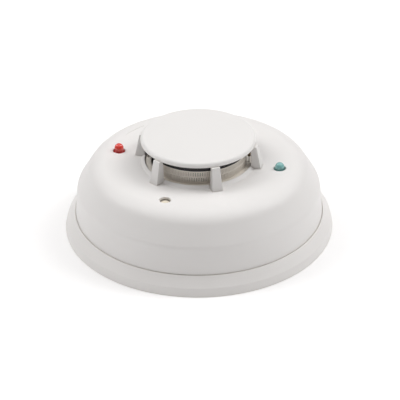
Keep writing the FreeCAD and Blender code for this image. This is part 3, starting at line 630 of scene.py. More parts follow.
def metal(name, colour, tarnish, stretch, roughness):
    """Plated or drawn metal with streaks along its worked direction."""
    material, wiring, shader = new_material(name, Metallic=1.0)
    face = wiring.node("ShaderNodeGroup", {"node_tree": DRAWN_METAL}, Colour=(*colour, 1),
                       Tarnish=(*tarnish, 1), Stretch=stretch, Roughness=roughness).outputs
    wiring.feed(face["Colour"], shader["Base Color"])
    wiring.feed(face["Roughness"], shader["Roughness"])
    bump(wiring, shader, face["Height"], STREAK_DEPTH)
    return material


tinned_lead = metal("tinned_lead", (0.72, 0.70, 0.66), (0.42, 0.38, 0.32), (1, 1, 0.08), 0.30)
tinned_brass = metal("tinned_brass", (0.74, 0.72, 0.67), (0.46, 0.40, 0.28), (1, 1, 0.1), 0.28)
bright_brass = metal("bright_brass", (0.78, 0.60, 0.28), (0.38, 0.24, 0.10), (0.1, 1, 1), 0.30)
zinc_steel = metal("zinc_steel", (0.62, 0.64, 0.66), (0.40, 0.38, 0.34), (1, 1, 1), 0.32)
print("metals made")

# %% [markdown]
# ## Tinted epoxy
# An indicator is a drop of cast epoxy with dye in it. It is clear enough to glow at its edges and dense
# enough to look solid in the middle, so it gets part transmission and a deep base colour, with painted
# shade that darkens the colour towards the flange.

# %% Epoxies
def tinted_epoxy(name, foot_shade, light, low, high, transmission):
    """Dyed clear resin with painted shade: its colour darkens towards its foot."""
    material, wiring, shader = new_material(name, Transmission_Weight=transmission, IOR=1.5,
                                            Coat_Weight=0.6, Coat_Roughness=0.03)
    level = wiring.node("ShaderNodeSeparateXYZ", Vector=wiring.object_place()).outputs["Z"]
    swirl = wiring.math("MULTIPLY", wiring.math("SUBTRACT", wiring.noise(700.0, 2.0), 0.5), 0.25)
    # painted shade: the colour runs from the shaded colour at the foot to the lighter colour higher up
    rise = wiring.math("ADD", wiring.remap(level, low * MM, high * MM, 0.0, 1.0), swirl)
    wiring.feed(wiring.blend(rise, (*foot_shade, 1), (*light, 1)), shader["Base Color"])
    wiring.feed(wiring.remap(wiring.noise(1500.0, 2.0), 0.3, 0.7, 0.10, 0.20), shader["Roughness"])
    bump(wiring, shader, wiring.noise(600.0, 1.0), 0.01)
    return material


INDICATOR_HEIGHT = 4.87
RED_TOP, GREEN_TOP = height("red_led")[1], height("green_led")[1]
red_epoxy = tinted_epoxy("red_epoxy", (0.42, 0.014, 0.014), (0.88, 0.060, 0.042), RED_TOP - 4.5,
                         RED_TOP - 2.0, 0.1)
green_epoxy = tinted_epoxy("green_epoxy", (0.15, 0.38, 0.37), (0.27, 0.60, 0.585), GREEN_TOP - 4.5,
                           GREEN_TOP - 2.0, 0.15)
bead_epoxy = tinted_epoxy("bead_epoxy", (0.16, 0.10, 0.05), (0.34, 0.25, 0.15), 38, 42, 0.1)
blue_epoxy = tinted_epoxy("blue_epoxy", (0.010, 0.035, 0.16), (0.015, 0.06, 0.24), 16, 27, 0.0)
water_epoxy = tinted_epoxy("water_epoxy", (0.55, 0.56, 0.62), (0.68, 0.69, 0.74), 31, 35, 0.5)
smoked_epoxy = tinted_epoxy("smoked_epoxy", (0.012, 0.010, 0.015), (0.03, 0.022, 0.03), 31, 35, 0.1)
print("epoxies made, indicators up to", RED_TOP, GREEN_TOP)

# %% [markdown]
# ## Mounting base
# The base is a shallow dish with a sloping rim. The head sits inside its thin upper lip, where a fine bead
# on the lip leaves only a thin line between them. It is turned first, then the seats for the terminals and
# the bayonet hooks are added, and last the slots and screw holes are cut.

# %% Turned shell of the base
FLOOR_Z = 2.0
WIRE_HOLE_R = 19.0
WALL_R = BASE_R - 3.5
BEAD_R = LIP_R - 0.15


def base_shell():
    return turned("mounting_base_moulding", [
        (WIRE_HOLE_R, 0, 0.3), (BASE_R, 0, 0.3), (BASE_R - 1.1, 4.2, 0.6), (LIP_R + 0.4, LIP_Z, 0.15),
        (BEAD_R, LIP_Z, 0.1), (BEAD_R, LIP_Z - 1.4, 0.1), (WALL_R, 4.2, 0.8), (WALL_R, FLOOR_Z, 0.4),
        (WIRE_HOLE_R + 1.6, FLOOR_Z, 0.4), (WIRE_HOLE_R + 1.6, 4.4, 0.3), (WIRE_HOLE_R, 4.4, 0.3),
    ], 288)


# %% [markdown]
# The features inside the dish stand on its floor and are welded to it one kind at a time. The four slots run
# outwards, so the base fits wall boxes whose screws stand closer together or further apart.

# %% Seats, hooks and slots
SEAT_NEAR, SEAT_FAR, SEAT_TOP = 37.0, 49.0, 3.2
BAYONET_ANGLES = [20.0 + 120 * step for step in range(3)]
LEDGE_TOP = 7.3
HOOK_OUT = COVER_R - COVER_WALL - HOUSING_GAP + 0.2
SUNK = FLOOR_Z - 0.5
ROUND_END_STEPS = 14


def obround_pin(name, centre, reach_out, radius, low, high, angle):
    """A cutter with a slot's outline, running outwards from the axis."""
    mesh_edit = bmesh.new()
    outline = []
    for side in (1, -1):
        for step in range(ROUND_END_STEPS + 1):
            turn = math.pi * (step / ROUND_END_STEPS - 0.5)
            outline.append((centre + side * (reach_out + radius * math.cos(turn)),
                            side * radius * math.sin(turn)))
    rows = [[mesh_edit.verts.new((x * MM, y * MM, level * MM)) for x, y in outline] for level in (low, high)]
    mesh_edit.faces.new(rows[0][::-1])
    mesh_edit.faces.new(rows[1])
    for index in range(len(outline)):
        after = (index + 1) % len(outline)
        mesh_edit.faces.new([rows[0][index], rows[0][after], rows[1][after], rows[1][index]])
    bmesh.ops.rotate(mesh_edit, verts=mesh_edit.verts, matrix=Matrix.Rotation(math.radians(angle), 3, "Z"))
    return finish_mesh(name, mesh_edit)


def make_base():
    base = base_shell()
    seats = [brick("seat", SEAT_NEAR, SEAT_FAR, 10.0, SUNK, SEAT_TOP, angle) for angle in TERMINAL_ANGLES]
    add(base, seats)
    hooks = [brick("hook", HOOK_OUT - 1.3, HOOK_OUT, 14.0, SUNK, LEDGE_TOP, a) for a in BAYONET_ANGLES]
    add(base, hooks)
    ledges = [brick("ledge", HOOK_OUT - 4.8, HOOK_OUT, 14.0, LEDGE_TOP - 1.1, LEDGE_TOP, a)
              for a in BAYONET_ANGLES]
    add(base, ledges)
    stops = [brick("stop", HOOK_OUT - 4.8, HOOK_OUT, 1.4, SUNK, LEDGE_TOP, a - 8.1) for a in BAYONET_ANGLES]
    add(base, stops)
    cuts = [obround_pin("slot", 39.7, 4.8, 2.4, -1, FLOOR_Z + 0.5, 90 * step) for step in range(4)]
    cuts += [moved(pin("screw_hole", 1.75, 0.6, 9), TERMINAL_R, angle) for angle in TERMINAL_ANGLES]
    cut(base, cuts)
    return soften(base)


place(make_base(), "base", "base_shell", ["mounting_base"], base_plastic)

# %% [markdown]
# ## Front cover
# The cover is one thin moulding: a steep side, a soft crease, a long soft shoulder and a top that is dished
# a little towards the throat, where a narrow sloping rim rises again. All of that is one outline on the
# lathe. The holes for the two indicators and the test button have eased edges, and the post feet of the
# vent cap stand in shallow pockets.

# %% Turned shell of the cover
INDICATOR_R, INDICATOR_ANGLE, INDICATOR_HOLE = SHOULDER[0] - 10.95, -13.45, 3.0
TEST_R, TEST_ANGLE, TEST_HOLE = SHOULDER[0] - 10.25, -112.7, 2.75
POST_INNER = THROAT_R + 0.4
POST_FOOT_Z = TROUGH[1] - 0.5
CEILING_Z = TROUGH[1] - 2.0
BUTTON_LOW, BUTTON_TOP = height("test_button")


def cover_shell():
    return turned("front_cover_moulding", [
        (COVER_R, COVER_BOTTOM, 0.5), (COVER_R, LIP_Z, 2.0), (*CREASE, 6.0), (*SHOULDER, 10.0),
        (*TROUGH, 0.3), (THROAT_R + 0.45, COVER_TOP, 0.15), (THROAT_R, COVER_TOP - 0.25, 0.1),
        (THROAT_R, CEILING_Z - 0.5, 0.2), (THROAT_R + 1.6, CEILING_Z - 0.5, 0.2),
        (THROAT_R + 1.6, CEILING_Z, 0.2), (SHOULDER[0] - 1.1, SHOULDER[1] - COVER_WALL - 0.04, 8.0),
        (CREASE[0] - COVER_WALL + 0.1, CREASE[1] - 1.2, 4.0), (COVER_R - COVER_WALL, COVER_BOTTOM, 0.5),
    ], 288)


# %% [markdown]
# The holes follow the slope of the dished top, because the cutters are tilted with it. The guide of the test
# hole and the small ribs inside are added first, so that the holes pass through them cleanly.

# %% Holes, pockets and ribs
def arc_groove():
    """A shallow witness line left by an insert in the tool, over a short arc."""
    radius = 44.3
    level = top_level(radius)
    section = [(radius - 0.34, level + 0.3, 0), (radius + 0.34, level + 0.3, 0),
               (radius + 0.2, level - 0.16, 0.1), (radius - 0.2, level - 0.16, 0.1)]
    return turned("arc_groove", section, 32, 129.0, 17.0)


def surface_hole(name, radius, circle_r, angle):
    """A lipped hole through the sloping top at a radius and angle."""
    cutter = tilted(lipped_pin(name, radius, 0.3, 6.0), TOP_SLOPE)
    return moved(cutter, circle_r, angle, top_level(circle_r))


def make_cover():
    cover = cover_shell()
    guide = moved(pin("guide", TEST_HOLE + 1.2, CEILING_Z - 8, CEILING_Z + 2), TEST_R, TEST_ANGLE)
    ribs = [brick("rib", 56.2, 59.1, 1.6, 17.3, 22.5, angle + 30) for angle in POST_ANGLES]
    add(cover, ribs + [guide])
    cuts = [surface_hole("hole", INDICATOR_HOLE, INDICATOR_R, INDICATOR_ANGLE + turn) for turn in (0, 180)]
    cuts += [surface_hole("test_hole", TEST_HOLE, TEST_R, TEST_ANGLE), arc_groove()]
    cut(cover, cuts)
    guide_z = BUTTON_TOP + 0.3
    cut(cover, moved(pin("bore", TEST_HOLE + 0.2, 20, guide_z), TEST_R, TEST_ANGLE))
    foot_far, foot_width = POST_INNER + 5.25, 5.2
    feet = [shaped_block("foot", (THROAT_R - 1, foot_far, foot_width, POST_FOOT_Z - 0.05),
                         (THROAT_R - 1, foot_far, foot_width, COVER_TOP + 1), 0, angle)
            for angle in POST_ANGLES]
    cut(cover, feet)
    pegs = [moved(pin("peg", 1.05, 32, 36, 24), POST_INNER + 3.12, angle) for angle in POST_ANGLES]
    cut(cover, pegs)
    return soften(cover)


place(make_cover(), "cover", "cover_shell", ["front_cover"], cover_plastic)

# %% [markdown]
# ## Vent cap
# A thick round plate stands on six posts, so air and smoke can enter from every side. The posts are wedges:
# upright towards the chamber and sloping outside, wider at the foot. Their edges are crisp but not sharp.

# %% Vent cap
CAP_PLATE_Z = CAP_TOP - 2.6
POST_HEAD_Z = CAP_UNDER + 0.05


CAP_CROWN = 1.4


def make_vent_cap():
    crown = [(CAP_R * share, CAP_TOP - CAP_CROWN * share * share, 9.0 if share > 0.2 else 0)
             for share in (0.8, 0.6, 0.4, 0.2)]
    cap = turned("vent_cap_moulding", [
        (0, CAP_PLATE_Z, 0), (CAP_R - 2.33, CAP_PLATE_Z, 0.3), (CAP_R - 2.33, CAP_UNDER, 0.25),
        (CAP_R, CAP_UNDER, 0.4), (CAP_R, CAP_TOP - CAP_CROWN, 1.8), *crown, (0, CAP_TOP, 0),
    ], 256)
    posts = [shaped_block("post", (POST_INNER, POST_INNER + 5.2, 5.1, POST_FOOT_Z),
                          (POST_INNER, POST_INNER + 2.6, 3.9, POST_HEAD_Z), 0.14, angle)
             for angle in POST_ANGLES]
    add(cap, posts)
    pegs = [moved(pin("peg", 1.0, POST_FOOT_Z - 1.6, POST_FOOT_Z + 0.5, 24), POST_INNER + 3.12, angle)
            for angle in POST_ANGLES]
    add(cap, pegs)
    return soften(cap, 28)


place(make_vent_cap(), "cover", "cover_shell", ["vent_cap"], cap_plastic)

# %% [markdown]
# ## Insect screen
# The cream ring under the cap is a comb of fine upright slots in two staggered rows. Cutting a few hundred
# slots with booleans would be slow and leave ragged faces. The wall is a grid instead, in angle and height,
# and each slot is simply a cell that is left open, with its four inner walls added.

# %% Slotted wall
def slotted_wall(name, inner, outer, angles, levels, is_open):
    """A ring wall on a grid of angles (degrees) and levels, with the cells that is_open names left out."""
    mesh_edit = bmesh.new()
    columns, rows = len(angles), len(levels) - 1
    spots = {}

    def spot(side, column, row):
        key = (side, column % columns, row)
        if key not in spots:
            turn = math.radians(angles[column % columns])
            radius = (inner, outer)[side] * MM
            spots[key] = mesh_edit.verts.new((radius * math.cos(turn), radius * math.sin(turn),
                                              levels[row] * MM))
        return spots[key]

    def solid(column, row):
        return 0 <= row < rows and not is_open(column % columns, row)

    for column in range(columns):
        for row in range(rows):
            if not solid(column, row):
                continue
            mesh_edit.faces.new([spot(1, column, row), spot(1, column + 1, row),
                                 spot(1, column + 1, row + 1), spot(1, column, row + 1)])
            mesh_edit.faces.new([spot(0, column, row), spot(0, column, row + 1),
                                 spot(0, column + 1, row + 1), spot(0, column + 1, row)])
            edges = [((column - 1, row), (column, row), (column, row + 1)),
                     ((column + 1, row), (column + 1, row), (column + 1, row + 1)),
                     ((column, row - 1), (column, row), (column + 1, row)),
                     ((column, row + 1), (column, row + 1), (column + 1, row + 1))]
            for beside, start, end in edges:
                if not solid(*beside):
                    mesh_edit.faces.new([spot(0, *start), spot(1, *start), spot(1, *end), spot(0, *end)])
    return finish_mesh(name, mesh_edit)


# %% [markdown]
# The screen is the slotted wall with a turned flange welded round it. The slots of the upper row sit half a
# pitch beside the lower ones, and two bays stay open for the heat sensors.

# %% Insect screen
SCREEN_IN = SCREEN_R - 0.8
FLANGE_TOP = COVER_TOP - 0.8
SLOT_PITCH, SLOT_SHARE = 2.0, 0.28
SLOT_ROWS = [(FLANGE_TOP + 0.9, FLANGE_TOP + 3.3), (FLANGE_TOP + 3.8, FLANGE_TOP + 6.2)]


def in_bay(angle):
    """Whether an angle falls in one of the two open sensor bays."""
    return (angle - BAY_START) % 180.0 < BAY_SPAN


def screen_grid():
    """Angles where the wall changes, a slot at each half pitch, and the levels of the slot rows."""
    half = SLOT_PITCH / 2
    angles = []
    for step in range(int(round(360 / half))):
        start = BAY_START + half * step
        angles += [start, start + half * 2 * SLOT_SHARE]
    levels = [SCREEN_LOW, FLANGE_TOP - 0.5, SLOT_ROWS[0][0], SLOT_ROWS[0][1], SLOT_ROWS[1][0],
              SLOT_ROWS[1][1], SCREEN_HIGH]
    return angles, levels


def make_insect_screen():
    angles, levels = screen_grid()

    def is_open(column, row):
        angle = angles[column] + 0.01
        step, part = divmod(column, 2)
        if in_bay(angle):
            return row >= 1
        clear = (angle - BAY_START - BAY_SPAN) % 180.0
        if clear < SLOT_PITCH or clear > 180 - BAY_SPAN - SLOT_PITCH:
            return False
        return part == 0 and ((row == 2 and step % 2 == 0) or (row == 4 and step % 2 == 1))

    wall = slotted_wall("insect_screen_comb", SCREEN_IN, SCREEN_R, angles, levels, is_open)
    flange = turned("flange", [
        (SCREEN_R - 0.4, FLANGE_TOP - 1.0, 0), (FLANGE_R, FLANGE_TOP - 1.0, 0.15),
        (FLANGE_R, FLANGE_TOP, 0.25), (SCREEN_R - 0.4, FLANGE_TOP, 0)], 256)
    holes = [moved(pin("lead_hole", 0.42, 30, 40, 20), FLANGE_R - 1.0, SENSOR_ANGLE + 180 * side, 0, sideways)
             for side in (0, 1) for sideways in (-0.5, 0.5)]
    cut(flange, holes)
    add(wall, flange)
    return soften(wall)


place(make_insect_screen(), "head", "screen_cream", ["insect_screen"], screen_nylon)

# %% [markdown]
# ## Chamber cover
# Smoke drifts in, light must not, so the chamber is moulded in matte black with a ring of upright vanes
# under a roof. Only the edge of the roof and the recessed bay walls behind the heat sensors can be seen.

# %% Chamber cover
DECK_Z = height("chamber_base")[1] - 2.0
ROOF_TOP = height("chamber_cover")[1]
BAY_R = SCREEN_IN - 2.4
CHAMBER_WALL_TOP = SCREEN_HIGH + 0.5


def make_chamber_cover():
    roof = turned("chamber_cover_moulding", [
        (0, SCREEN_HIGH, 0), (SCREEN_R, SCREEN_HIGH, 0.15), (SCREEN_R, ROOF_TOP, 0.4), (0, ROOF_TOP, 0),
    ], 160)
    walls = [turned("bay_wall", [
        (BAY_R - 0.8, DECK_Z, 0), (BAY_R, DECK_Z, 0), (BAY_R, CHAMBER_WALL_TOP, 0),
        (BAY_R - 0.8, CHAMBER_WALL_TOP, 0)], 26, BAY_START + 180 * side, BAY_SPAN) for side in (0, 1)]
    add(roof, walls)
    sides = [brick("bay_side", BAY_R - 0.4, SCREEN_IN - 0.1, 0.8, DECK_Z, CHAMBER_WALL_TOP,
                   BAY_START + 180 * side + end, bevel=0.1) for side in (0, 1) for end in (0, BAY_SPAN)]
    add(roof, sides)
    vane_out = BAY_R - 1.4
    vanes = [brick("vane", vane_out - 4.4, vane_out, 1.0, DECK_Z, CHAMBER_WALL_TOP,
                   30 * step + BAY_START + BAY_SPAN / 2) for step in range(12)]
    add(roof, vanes)
    return soften(roof)


place(make_chamber_cover(), "head", "chamber_black", ["chamber_cover"], chamber_black)

# %% [markdown]
# ## Indicators
# Each indicator is a cast epoxy body with a flat flange at its foot and a short neck under a round dome. Two
# square legs of its lead frame run up into it, and one of them ends in a small cup that holds the chip. The
# frame is seen through the resin, so it is modelled as its own piece.

# %% Indicators
BOARD_TOP = height("circuit_board")[1]
DOME_R = 2.3


def make_indicator(name, top):
    seat = top - INDICATOR_HEIGHT
    neck, dome = seat + 0.9, top - DOME_R
    corners = [(0, seat, 0), (2.85, seat, 0.12), (2.85, neck, 0.22), (DOME_R, neck, 0.1), (DOME_R, dome, 0)]
    arc = [(DOME_R * math.cos(math.radians(a)), dome + DOME_R * math.sin(math.radians(a)), 0)
           for a in range(6, 90, 6)]
    return turned(name + "_body", corners + arc + [(0, top, 0)], 64)


def make_lead_frame(name, top):
    """Two legs, a kink at the foot of the body, and the cup on the wider one."""
    seat = top - INDICATOR_HEIGHT
    pieces = [brick("leg", -0.25, 0.25, 0.5, BOARD_TOP, seat + 0.6, sideways=side * 0.8, bevel=0.06)
              for side in (-1, 1)]
    pieces.append(brick("anvil", -0.25, 0.25, 1.1, seat + 0.5, seat + 1.5, sideways=-0.75, bevel=0.1))
    pieces.append(brick("post", -0.22, 0.22, 0.55, seat + 0.5, seat + 1.6, sideways=0.7, bevel=0.08))
    cup = turned("cup", [(0, seat + 1.5, 0), (0.55, seat + 1.5, 0.05), (0.8, seat + 2.0, 0.04),
                         (0.7, seat + 2.0, 0.04), (0.4, seat + 1.65, 0.05), (0, seat + 1.65, 0)], 32)
    pieces.append(moved(cup, 0, 0, 0, -0.55))
    return joined(name + "_lead_frame", pieces)


for led, slot, top, resin, turn in (("green_led", "led_green", GREEN_TOP, green_epoxy, 0),
                                    ("red_led", "led_red", RED_TOP, red_epoxy, 180)):
    spot = (INDICATOR_R, INDICATOR_ANGLE + turn)
    place(moved(make_indicator(led, top), *spot), "head", slot, [led], resin)
    place(moved(make_lead_frame(led, top), *spot), "head", slot, [led], tinned_lead)

# %% [markdown]
# ## Heat sensors
# Each thermistor is a bead dipped in resin on two fine leads, standing in the open bay where moving air
# reaches it first. The bead sags a little down the leads, as a dipped drop does.

# %% Heat sensors
SENSOR_R, BEAD_Z, LEAD_R = SCREEN_R + 1.0, 40.2, 0.22


def make_bead(name):
    outline = [(0, BEAD_Z + 1.0, 0)]
    for step in range(1, 14):
        angle = math.radians(90 - 12 * step)
        sag = 1.0 + 0.18 * max(0.0, -math.sin(angle))
        outline.append((0.98 * math.cos(angle), BEAD_Z + sag * math.sin(angle), 0))
    outline += [(0.3, BEAD_Z - 1.5, 0), (0, BEAD_Z - 1.5, 0)]
    return turned(name + "_bead", outline[::-1], 36)


def make_leads(name):
    leads = []
    for side in (-1, 1):
        wire = turned("lead", [(0, BOARD_TOP, 0), (LEAD_R, BOARD_TOP, 0), (LEAD_R, BEAD_Z, 0.05),
                               (0, BEAD_Z, 0)], 16)
        for spot in wire.data.vertices:
            close = max(0.0, spot.co.z / MM - (BEAD_Z - 2.6)) / 2.6
            spot.co.y += side * (0.5 - 0.2 * min(1.0, close)) * MM
        leads.append(wire)
    return joined(name + "_leads", leads)


for index, name in enumerate(("thermistor_right", "thermistor_left")):
    turn = SENSOR_ANGLE + 180 * index
    place(moved(make_bead(name), SENSOR_R, turn), "head", "thermistor_bead", [name], bead_epoxy)
    place(moved(make_leads(name), SENSOR_R, turn), "head", "thermistor_bead", [name], tinned_lead)

# %% [markdown]
# ## Test button
# A beige plunger waits 1.6 mm down the test hole, to be pushed with a thin tool. Its top is slightly dished
# so the tool does not slip off, and its edge is eased.

# %% Test button
def make_test_button():
    radius = TEST_HOLE - 0.4
    dish = [(0, BUTTON_TOP - 0.35, 0), (0.6, BUTTON_TOP - 0.32, 0), (1.2, BUTTON_TOP - 0.2, 0),
            (1.7, BUTTON_TOP, 0.2)]
    outline = [(0, BUTTON_LOW, 0), (radius, BUTTON_LOW, 0.3), (radius, BUTTON_TOP, 0.35)] + dish[::-1]
    return turned("test_button_plunger", outline, 56)


place(moved(make_test_button(), TEST_R, TEST_ANGLE), "test_plunger", "button_beige", ["test_button"],
      button_beige)

# %% [markdown]
# ## Board finish
# A printed board is glass cloth under green solder mask. Copper left under the mask shows as a lighter
# green, so the tracks are drawn by the edges of large cells, which meet at corners as routed tracks do.
# The weave and the tracks both lift the surface a few hundredths of a millimetre.

# %% Solder mask
def make_solder_mask():
    wiring, given, out = new_group("solder_mask", [("Mask", "Color", (0.01, 0.09, 0.03, 1)),
                                                   ("Copper", "Color", (0.04, 0.20, 0.07, 1))],
                                   [("Colour", "Color"), ("Height", "Float"), ("Roughness", "Float")])
    place_here = wiring.object_place()
    cells = wiring.node("ShaderNodeTexVoronoi", {"feature": "DISTANCE_TO_EDGE"}, Vector=place_here,
                        Scale=210.0, Randomness=0.75).outputs["Distance"]
    tracks = wiring.remap(cells, 0.035, 0.05, 1.0, 0.0)
    patch = wiring.remap(wiring.noise(60.0, 1.0), 0.52, 0.54, 0.0, 1.0)
    pour = wiring.math("MULTIPLY", patch, wiring.remap(cells, 0.09, 0.11, 0.0, 1.0))
    copper = wiring.math("MAXIMUM", tracks, pour)
    weave = wiring.noise(2600.0, 1.0)
    shade = wiring.blend(copper, given["Mask"], given["Copper"])
    wiring.feed(wiring.blend(wiring.remap(weave, 0.4, 0.7, 0.0, 0.25), shade, (0.02, 0.05, 0.02, 1)),
                out["Colour"])
    wiring.feed(wiring.math("ADD", copper, wiring.math("MULTIPLY", weave, 0.2)), out["Height"])
    wiring.feed(wiring.remap(wiring.noise(400.0, 3.0), 0.3, 0.7, 0.22, 0.38), out["Roughness"])
    return wiring.tree


SOLDER_MASK = make_solder_mask()
print("group:", SOLDER_MASK.name)

# %% [markdown]
# ## Materials of the inner parts
# Most inner parts reuse the plastic, metal and epoxy functions above with other values. White ink for the
# legend and soft bright solder complete the board.

# %% Inner materials
def board_material():
    material, wiring, shader = new_material("board_mask", Coat_Weight=0.3, Coat_Roughness=0.15)
    mask = wiring.node("ShaderNodeGroup", {"node_tree": SOLDER_MASK}).outputs
    wiring.feed(mask["Colour"], shader["Base Color"])
    wiring.feed(mask["Roughness"], shader["Roughness"])
    bump(wiring, shader, mask["Height"], 0.03)
    return material


board_mask = board_material()
legend_ink = plastic("legend_ink", (0.78, 0.78, 0.74), 0.5, 0.1, 0.004, 0.1, 0.2)
solder = metal("solder", (0.70, 0.70, 0.70), (0.45, 0.44, 0.42), (1, 1, 1), 0.24)
can_metal = metal("can_metal", (0.78, 0.78, 0.79), (0.55, 0.55, 0.55), (1, 0.1, 1), 0.26)
can_sleeve = plastic("can_sleeve", (0.045, 0.05, 0.075), 0.32, 0.3, 0.004, 0.1, 0.3)
package_epoxy = plastic("package_epoxy", (0.022, 0.022, 0.024), 0.55, 0.12, 0.008, 0.15, 0.3)
relay_plastic = plastic("relay_plastic", (0.035, 0.07, 0.16), 0.28, 0.3, 0.004, 0.06, 0.4)
ceramic = plastic("ceramic", (0.20, 0.15, 0.10), 0.4, 0.1, 0.004, 0.15, 0.2)
print("inner materials made")

# %% [markdown]
# ## Lower housing
# The housing is a flat tray that carries the board. Three legs with outward toes hang below it and turn
# under the hooks of the base, standoffs with small ribs hold the board, and five slots let the blades
# through. The tray is turned, the solid features are added, then the slots and bores are cut.

# %% Lower housing
HOUSING_LOW, HOUSING_TOP = 7.6, height("lower_housing")[1]
HOUSING_R = reach("lower_housing")
BOARD_LOW = height("circuit_board")[0]


def make_housing():
    floor = HOUSING_LOW + 2.0
    tray = turned("lower_housing_tray", [
        (0, HOUSING_LOW, 0), (HOUSING_R, HOUSING_LOW, 0.6), (HOUSING_R, HOUSING_TOP, 0.3),
        (HOUSING_R - 2, HOUSING_TOP, 0.3), (HOUSING_R - 2, floor, 0.5), (0, floor, 0)], 192)
    toe_low = height("lower_housing")[0]
    for turn in BAYONET_ANGLES:
        leg = brick("leg", HOUSING_R - 8.0, HOUSING_R - 5.3, 12.0, toe_low, HOUSING_LOW + 0.5, turn, 0, 0.25)
        toe = brick("toe", HOUSING_R - 8.0, HOUSING_R - 1.8, 12.0, toe_low, toe_low + 1.5, turn, 0, 0.25)
        add(tray, add(leg, toe))
    for turn in SCREW_ANGLES:
        post = turned("standoff", [(0, floor - 0.5, 0), (3, floor - 0.5, 0), (3, BOARD_LOW, 0.25),
                                   (0, BOARD_LOW, 0)], 48)
        add(tray, moved(post, BOARD_SCREW_R, turn))
        for side in range(3):
            rib = brick("rib", 2.5, 5.0, 0.8, floor - 0.4, BOARD_LOW - 1.2, 120 * side + 60, 0, 0.1)
            add(tray, moved(rib, BOARD_SCREW_R, turn))
    bores = [moved(pin("bore", 1.25, HOUSING_LOW + 1, BOARD_LOW + 1, 24), BOARD_SCREW_R, turn)
             for turn in SCREW_ANGLES]
    cut(tray, bores)
    slots = [brick("slot", BLADE_NEAR - 0.2, BLADE_FAR + 0.2, 6.4, 0, floor + 1, turn, 0, 0)
             for turn in TERMINAL_ANGLES]
    cut(tray, slots)
    return soften(tray)


place(make_housing(), "head", "housing_shell", ["lower_housing"], housing_plastic)

# %% [markdown]
# ## Circuit board
# A round board with eased edges. The drilled holes for the screws are cut through it, and small shallow vias
# are cut into its top. Each leg sits in a small cone of solder, and the outlines of the parts are printed
# round them as thin lines of ink, both modelled so that they catch the light.

# %% Board and its legs
BOARD_R = reach("circuit_board")
LEG_SPOTS = [(INDICATOR_R, INDICATOR_ANGLE + turn, side) for turn in (0, 180) for side in (-0.8, 0.8)]
LEG_SPOTS += [(SENSOR_R, SENSOR_ANGLE + turn, side) for turn in (0, 180) for side in (-0.5, 0.5)]
LEG_SPOTS += [(BLADE_R, turn, side) for turn in TERMINAL_ANGLES for side in (-1.6, 1.6)]


def make_board():
    low = BOARD_LOW
    board = turned("circuit_board_blank", [(0, low, 0), (BOARD_R, low, 0.12), (BOARD_R, BOARD_TOP, 0.12),
                                           (0, BOARD_TOP, 0)], 192)
    holes = [moved(pin("screw_hole", 1.25, low - 1, BOARD_TOP + 1, 32), BOARD_SCREW_R, turn)
             for turn in SCREW_ANGLES]
    vias = [moved(pin("via", 0.25, BOARD_TOP - 0.3, BOARD_TOP + 1, 12), 30.0 + 3.1 * (step % 7),
                  17.0 * step + 4.0) for step in range(21)]
    cut(board, holes + vias)
    return soften(board)


def make_solder_cones():
    cones = []
    for radius, turn, side in LEG_SPOTS:
        cone = turned("cone", [(0, BOARD_TOP, 0), (0.62, BOARD_TOP, 0), (0.56, BOARD_TOP + 0.05, 0),
                               (0.34, BOARD_TOP + 0.18, 0), (0.26, BOARD_TOP + 0.4, 0),
                               (0, BOARD_TOP + 0.4, 0)], 20)
        cones.append(moved(cone, radius, turn, 0, side))
    return joined("solder_cones", cones)


place(make_board(), "head", "board_green", ["circuit_board"], board_mask)
place(make_solder_cones(), "head", "board_green", ["circuit_board"], solder)


# %% [markdown]
# The legend is screen printed ink round each part. It is modelled as rings and frames a few hundredths of a
# millimetre thick, so it lies on the mask instead of in it.

# %% Printed legend
def ink_ring(radius, angle, size):
    low, top = BOARD_TOP, BOARD_TOP + 0.04
    ring = turned("ring", [(size, low, 0), (size + 0.2, low, 0), (size + 0.2, top, 0), (size, top, 0)], 56)
    return moved(ring, radius, angle)


def ink_frame(near, far, width, angle):
    """Four thin lines round a part."""
    low, top, line = BOARD_TOP, BOARD_TOP + 0.04, 0.2
    lines = [brick("line", near, near + line, width, low, top, angle, 0, 0),
             brick("line", far - line, far, width, low, top, angle, 0, 0)]
    lines += [brick("line", near, far, line, low, top, angle, side * (width - line) / 2, 0)
              for side in (-1, 1)]
    return lines


legend = [ink_ring(CAN_R, turn, 4.3) for turn in CAN_ANGLES]
legend += [ink_ring(INDICATOR_R, INDICATOR_ANGLE + turn, 3.1) for turn in (0, 180)]
legend += [ink_ring(BOARD_SCREW_R, turn, 3.2) for turn in SCREW_ANGLES]
legend += ink_frame(RELAY_NEAR - 0.6, RELAY_FAR + 0.6, RELAY_WIDTH + 1.2, RELAY_ANGLE)
legend += ink_frame(CHIP_NEAR - 1.6, CHIP_FAR + 1.6, CHIP_WIDTH + 1.2, CHIP_ANGLE)
legend += ink_frame(TEST_R - 3.6, TEST_R + 3.6, 7.2, TEST_ANGLE)
place(joined("board_legend", legend), "head", "board_green", ["circuit_board"], legend_ink)

# %% [markdown]
# ## Board screws
# Three small pan head screws with a cross recess. The head is turned with a domed top, and the recess is
# cut by two crossed wedges that narrow as they go down, as the tip of the driver does.

# %% Board screws
def cross_recess(level, size, depth):
    """Two crossed wedges with their wide ends up."""
    wedges = [shaped_block("wedge", (-size * 0.45, size * 0.45, size * 0.16, level - depth),
                           (-size, size, size * 0.3, level + 0.3), 0.02, turn) for turn in (0, 90)]
    return add(wedges[0], wedges[1])


def make_board_screw(turn):
    low, top = height("board_screws")
    screw = turned("board_screw", [(0, low, 0), (0.5, low, 0), (1.2, low + 1.0, 0.1), (1.2, BOARD_TOP, 0),
                                   (2.8, BOARD_TOP, 0.15), (2.8, BOARD_TOP + 0.75, 0.35),
                                   (1.9, top, 0.9), (0, top, 0)], 48)
    cut(screw, cross_recess(top, 1.25, 1.0))
    return moved(soften(screw), BOARD_SCREW_R, turn)


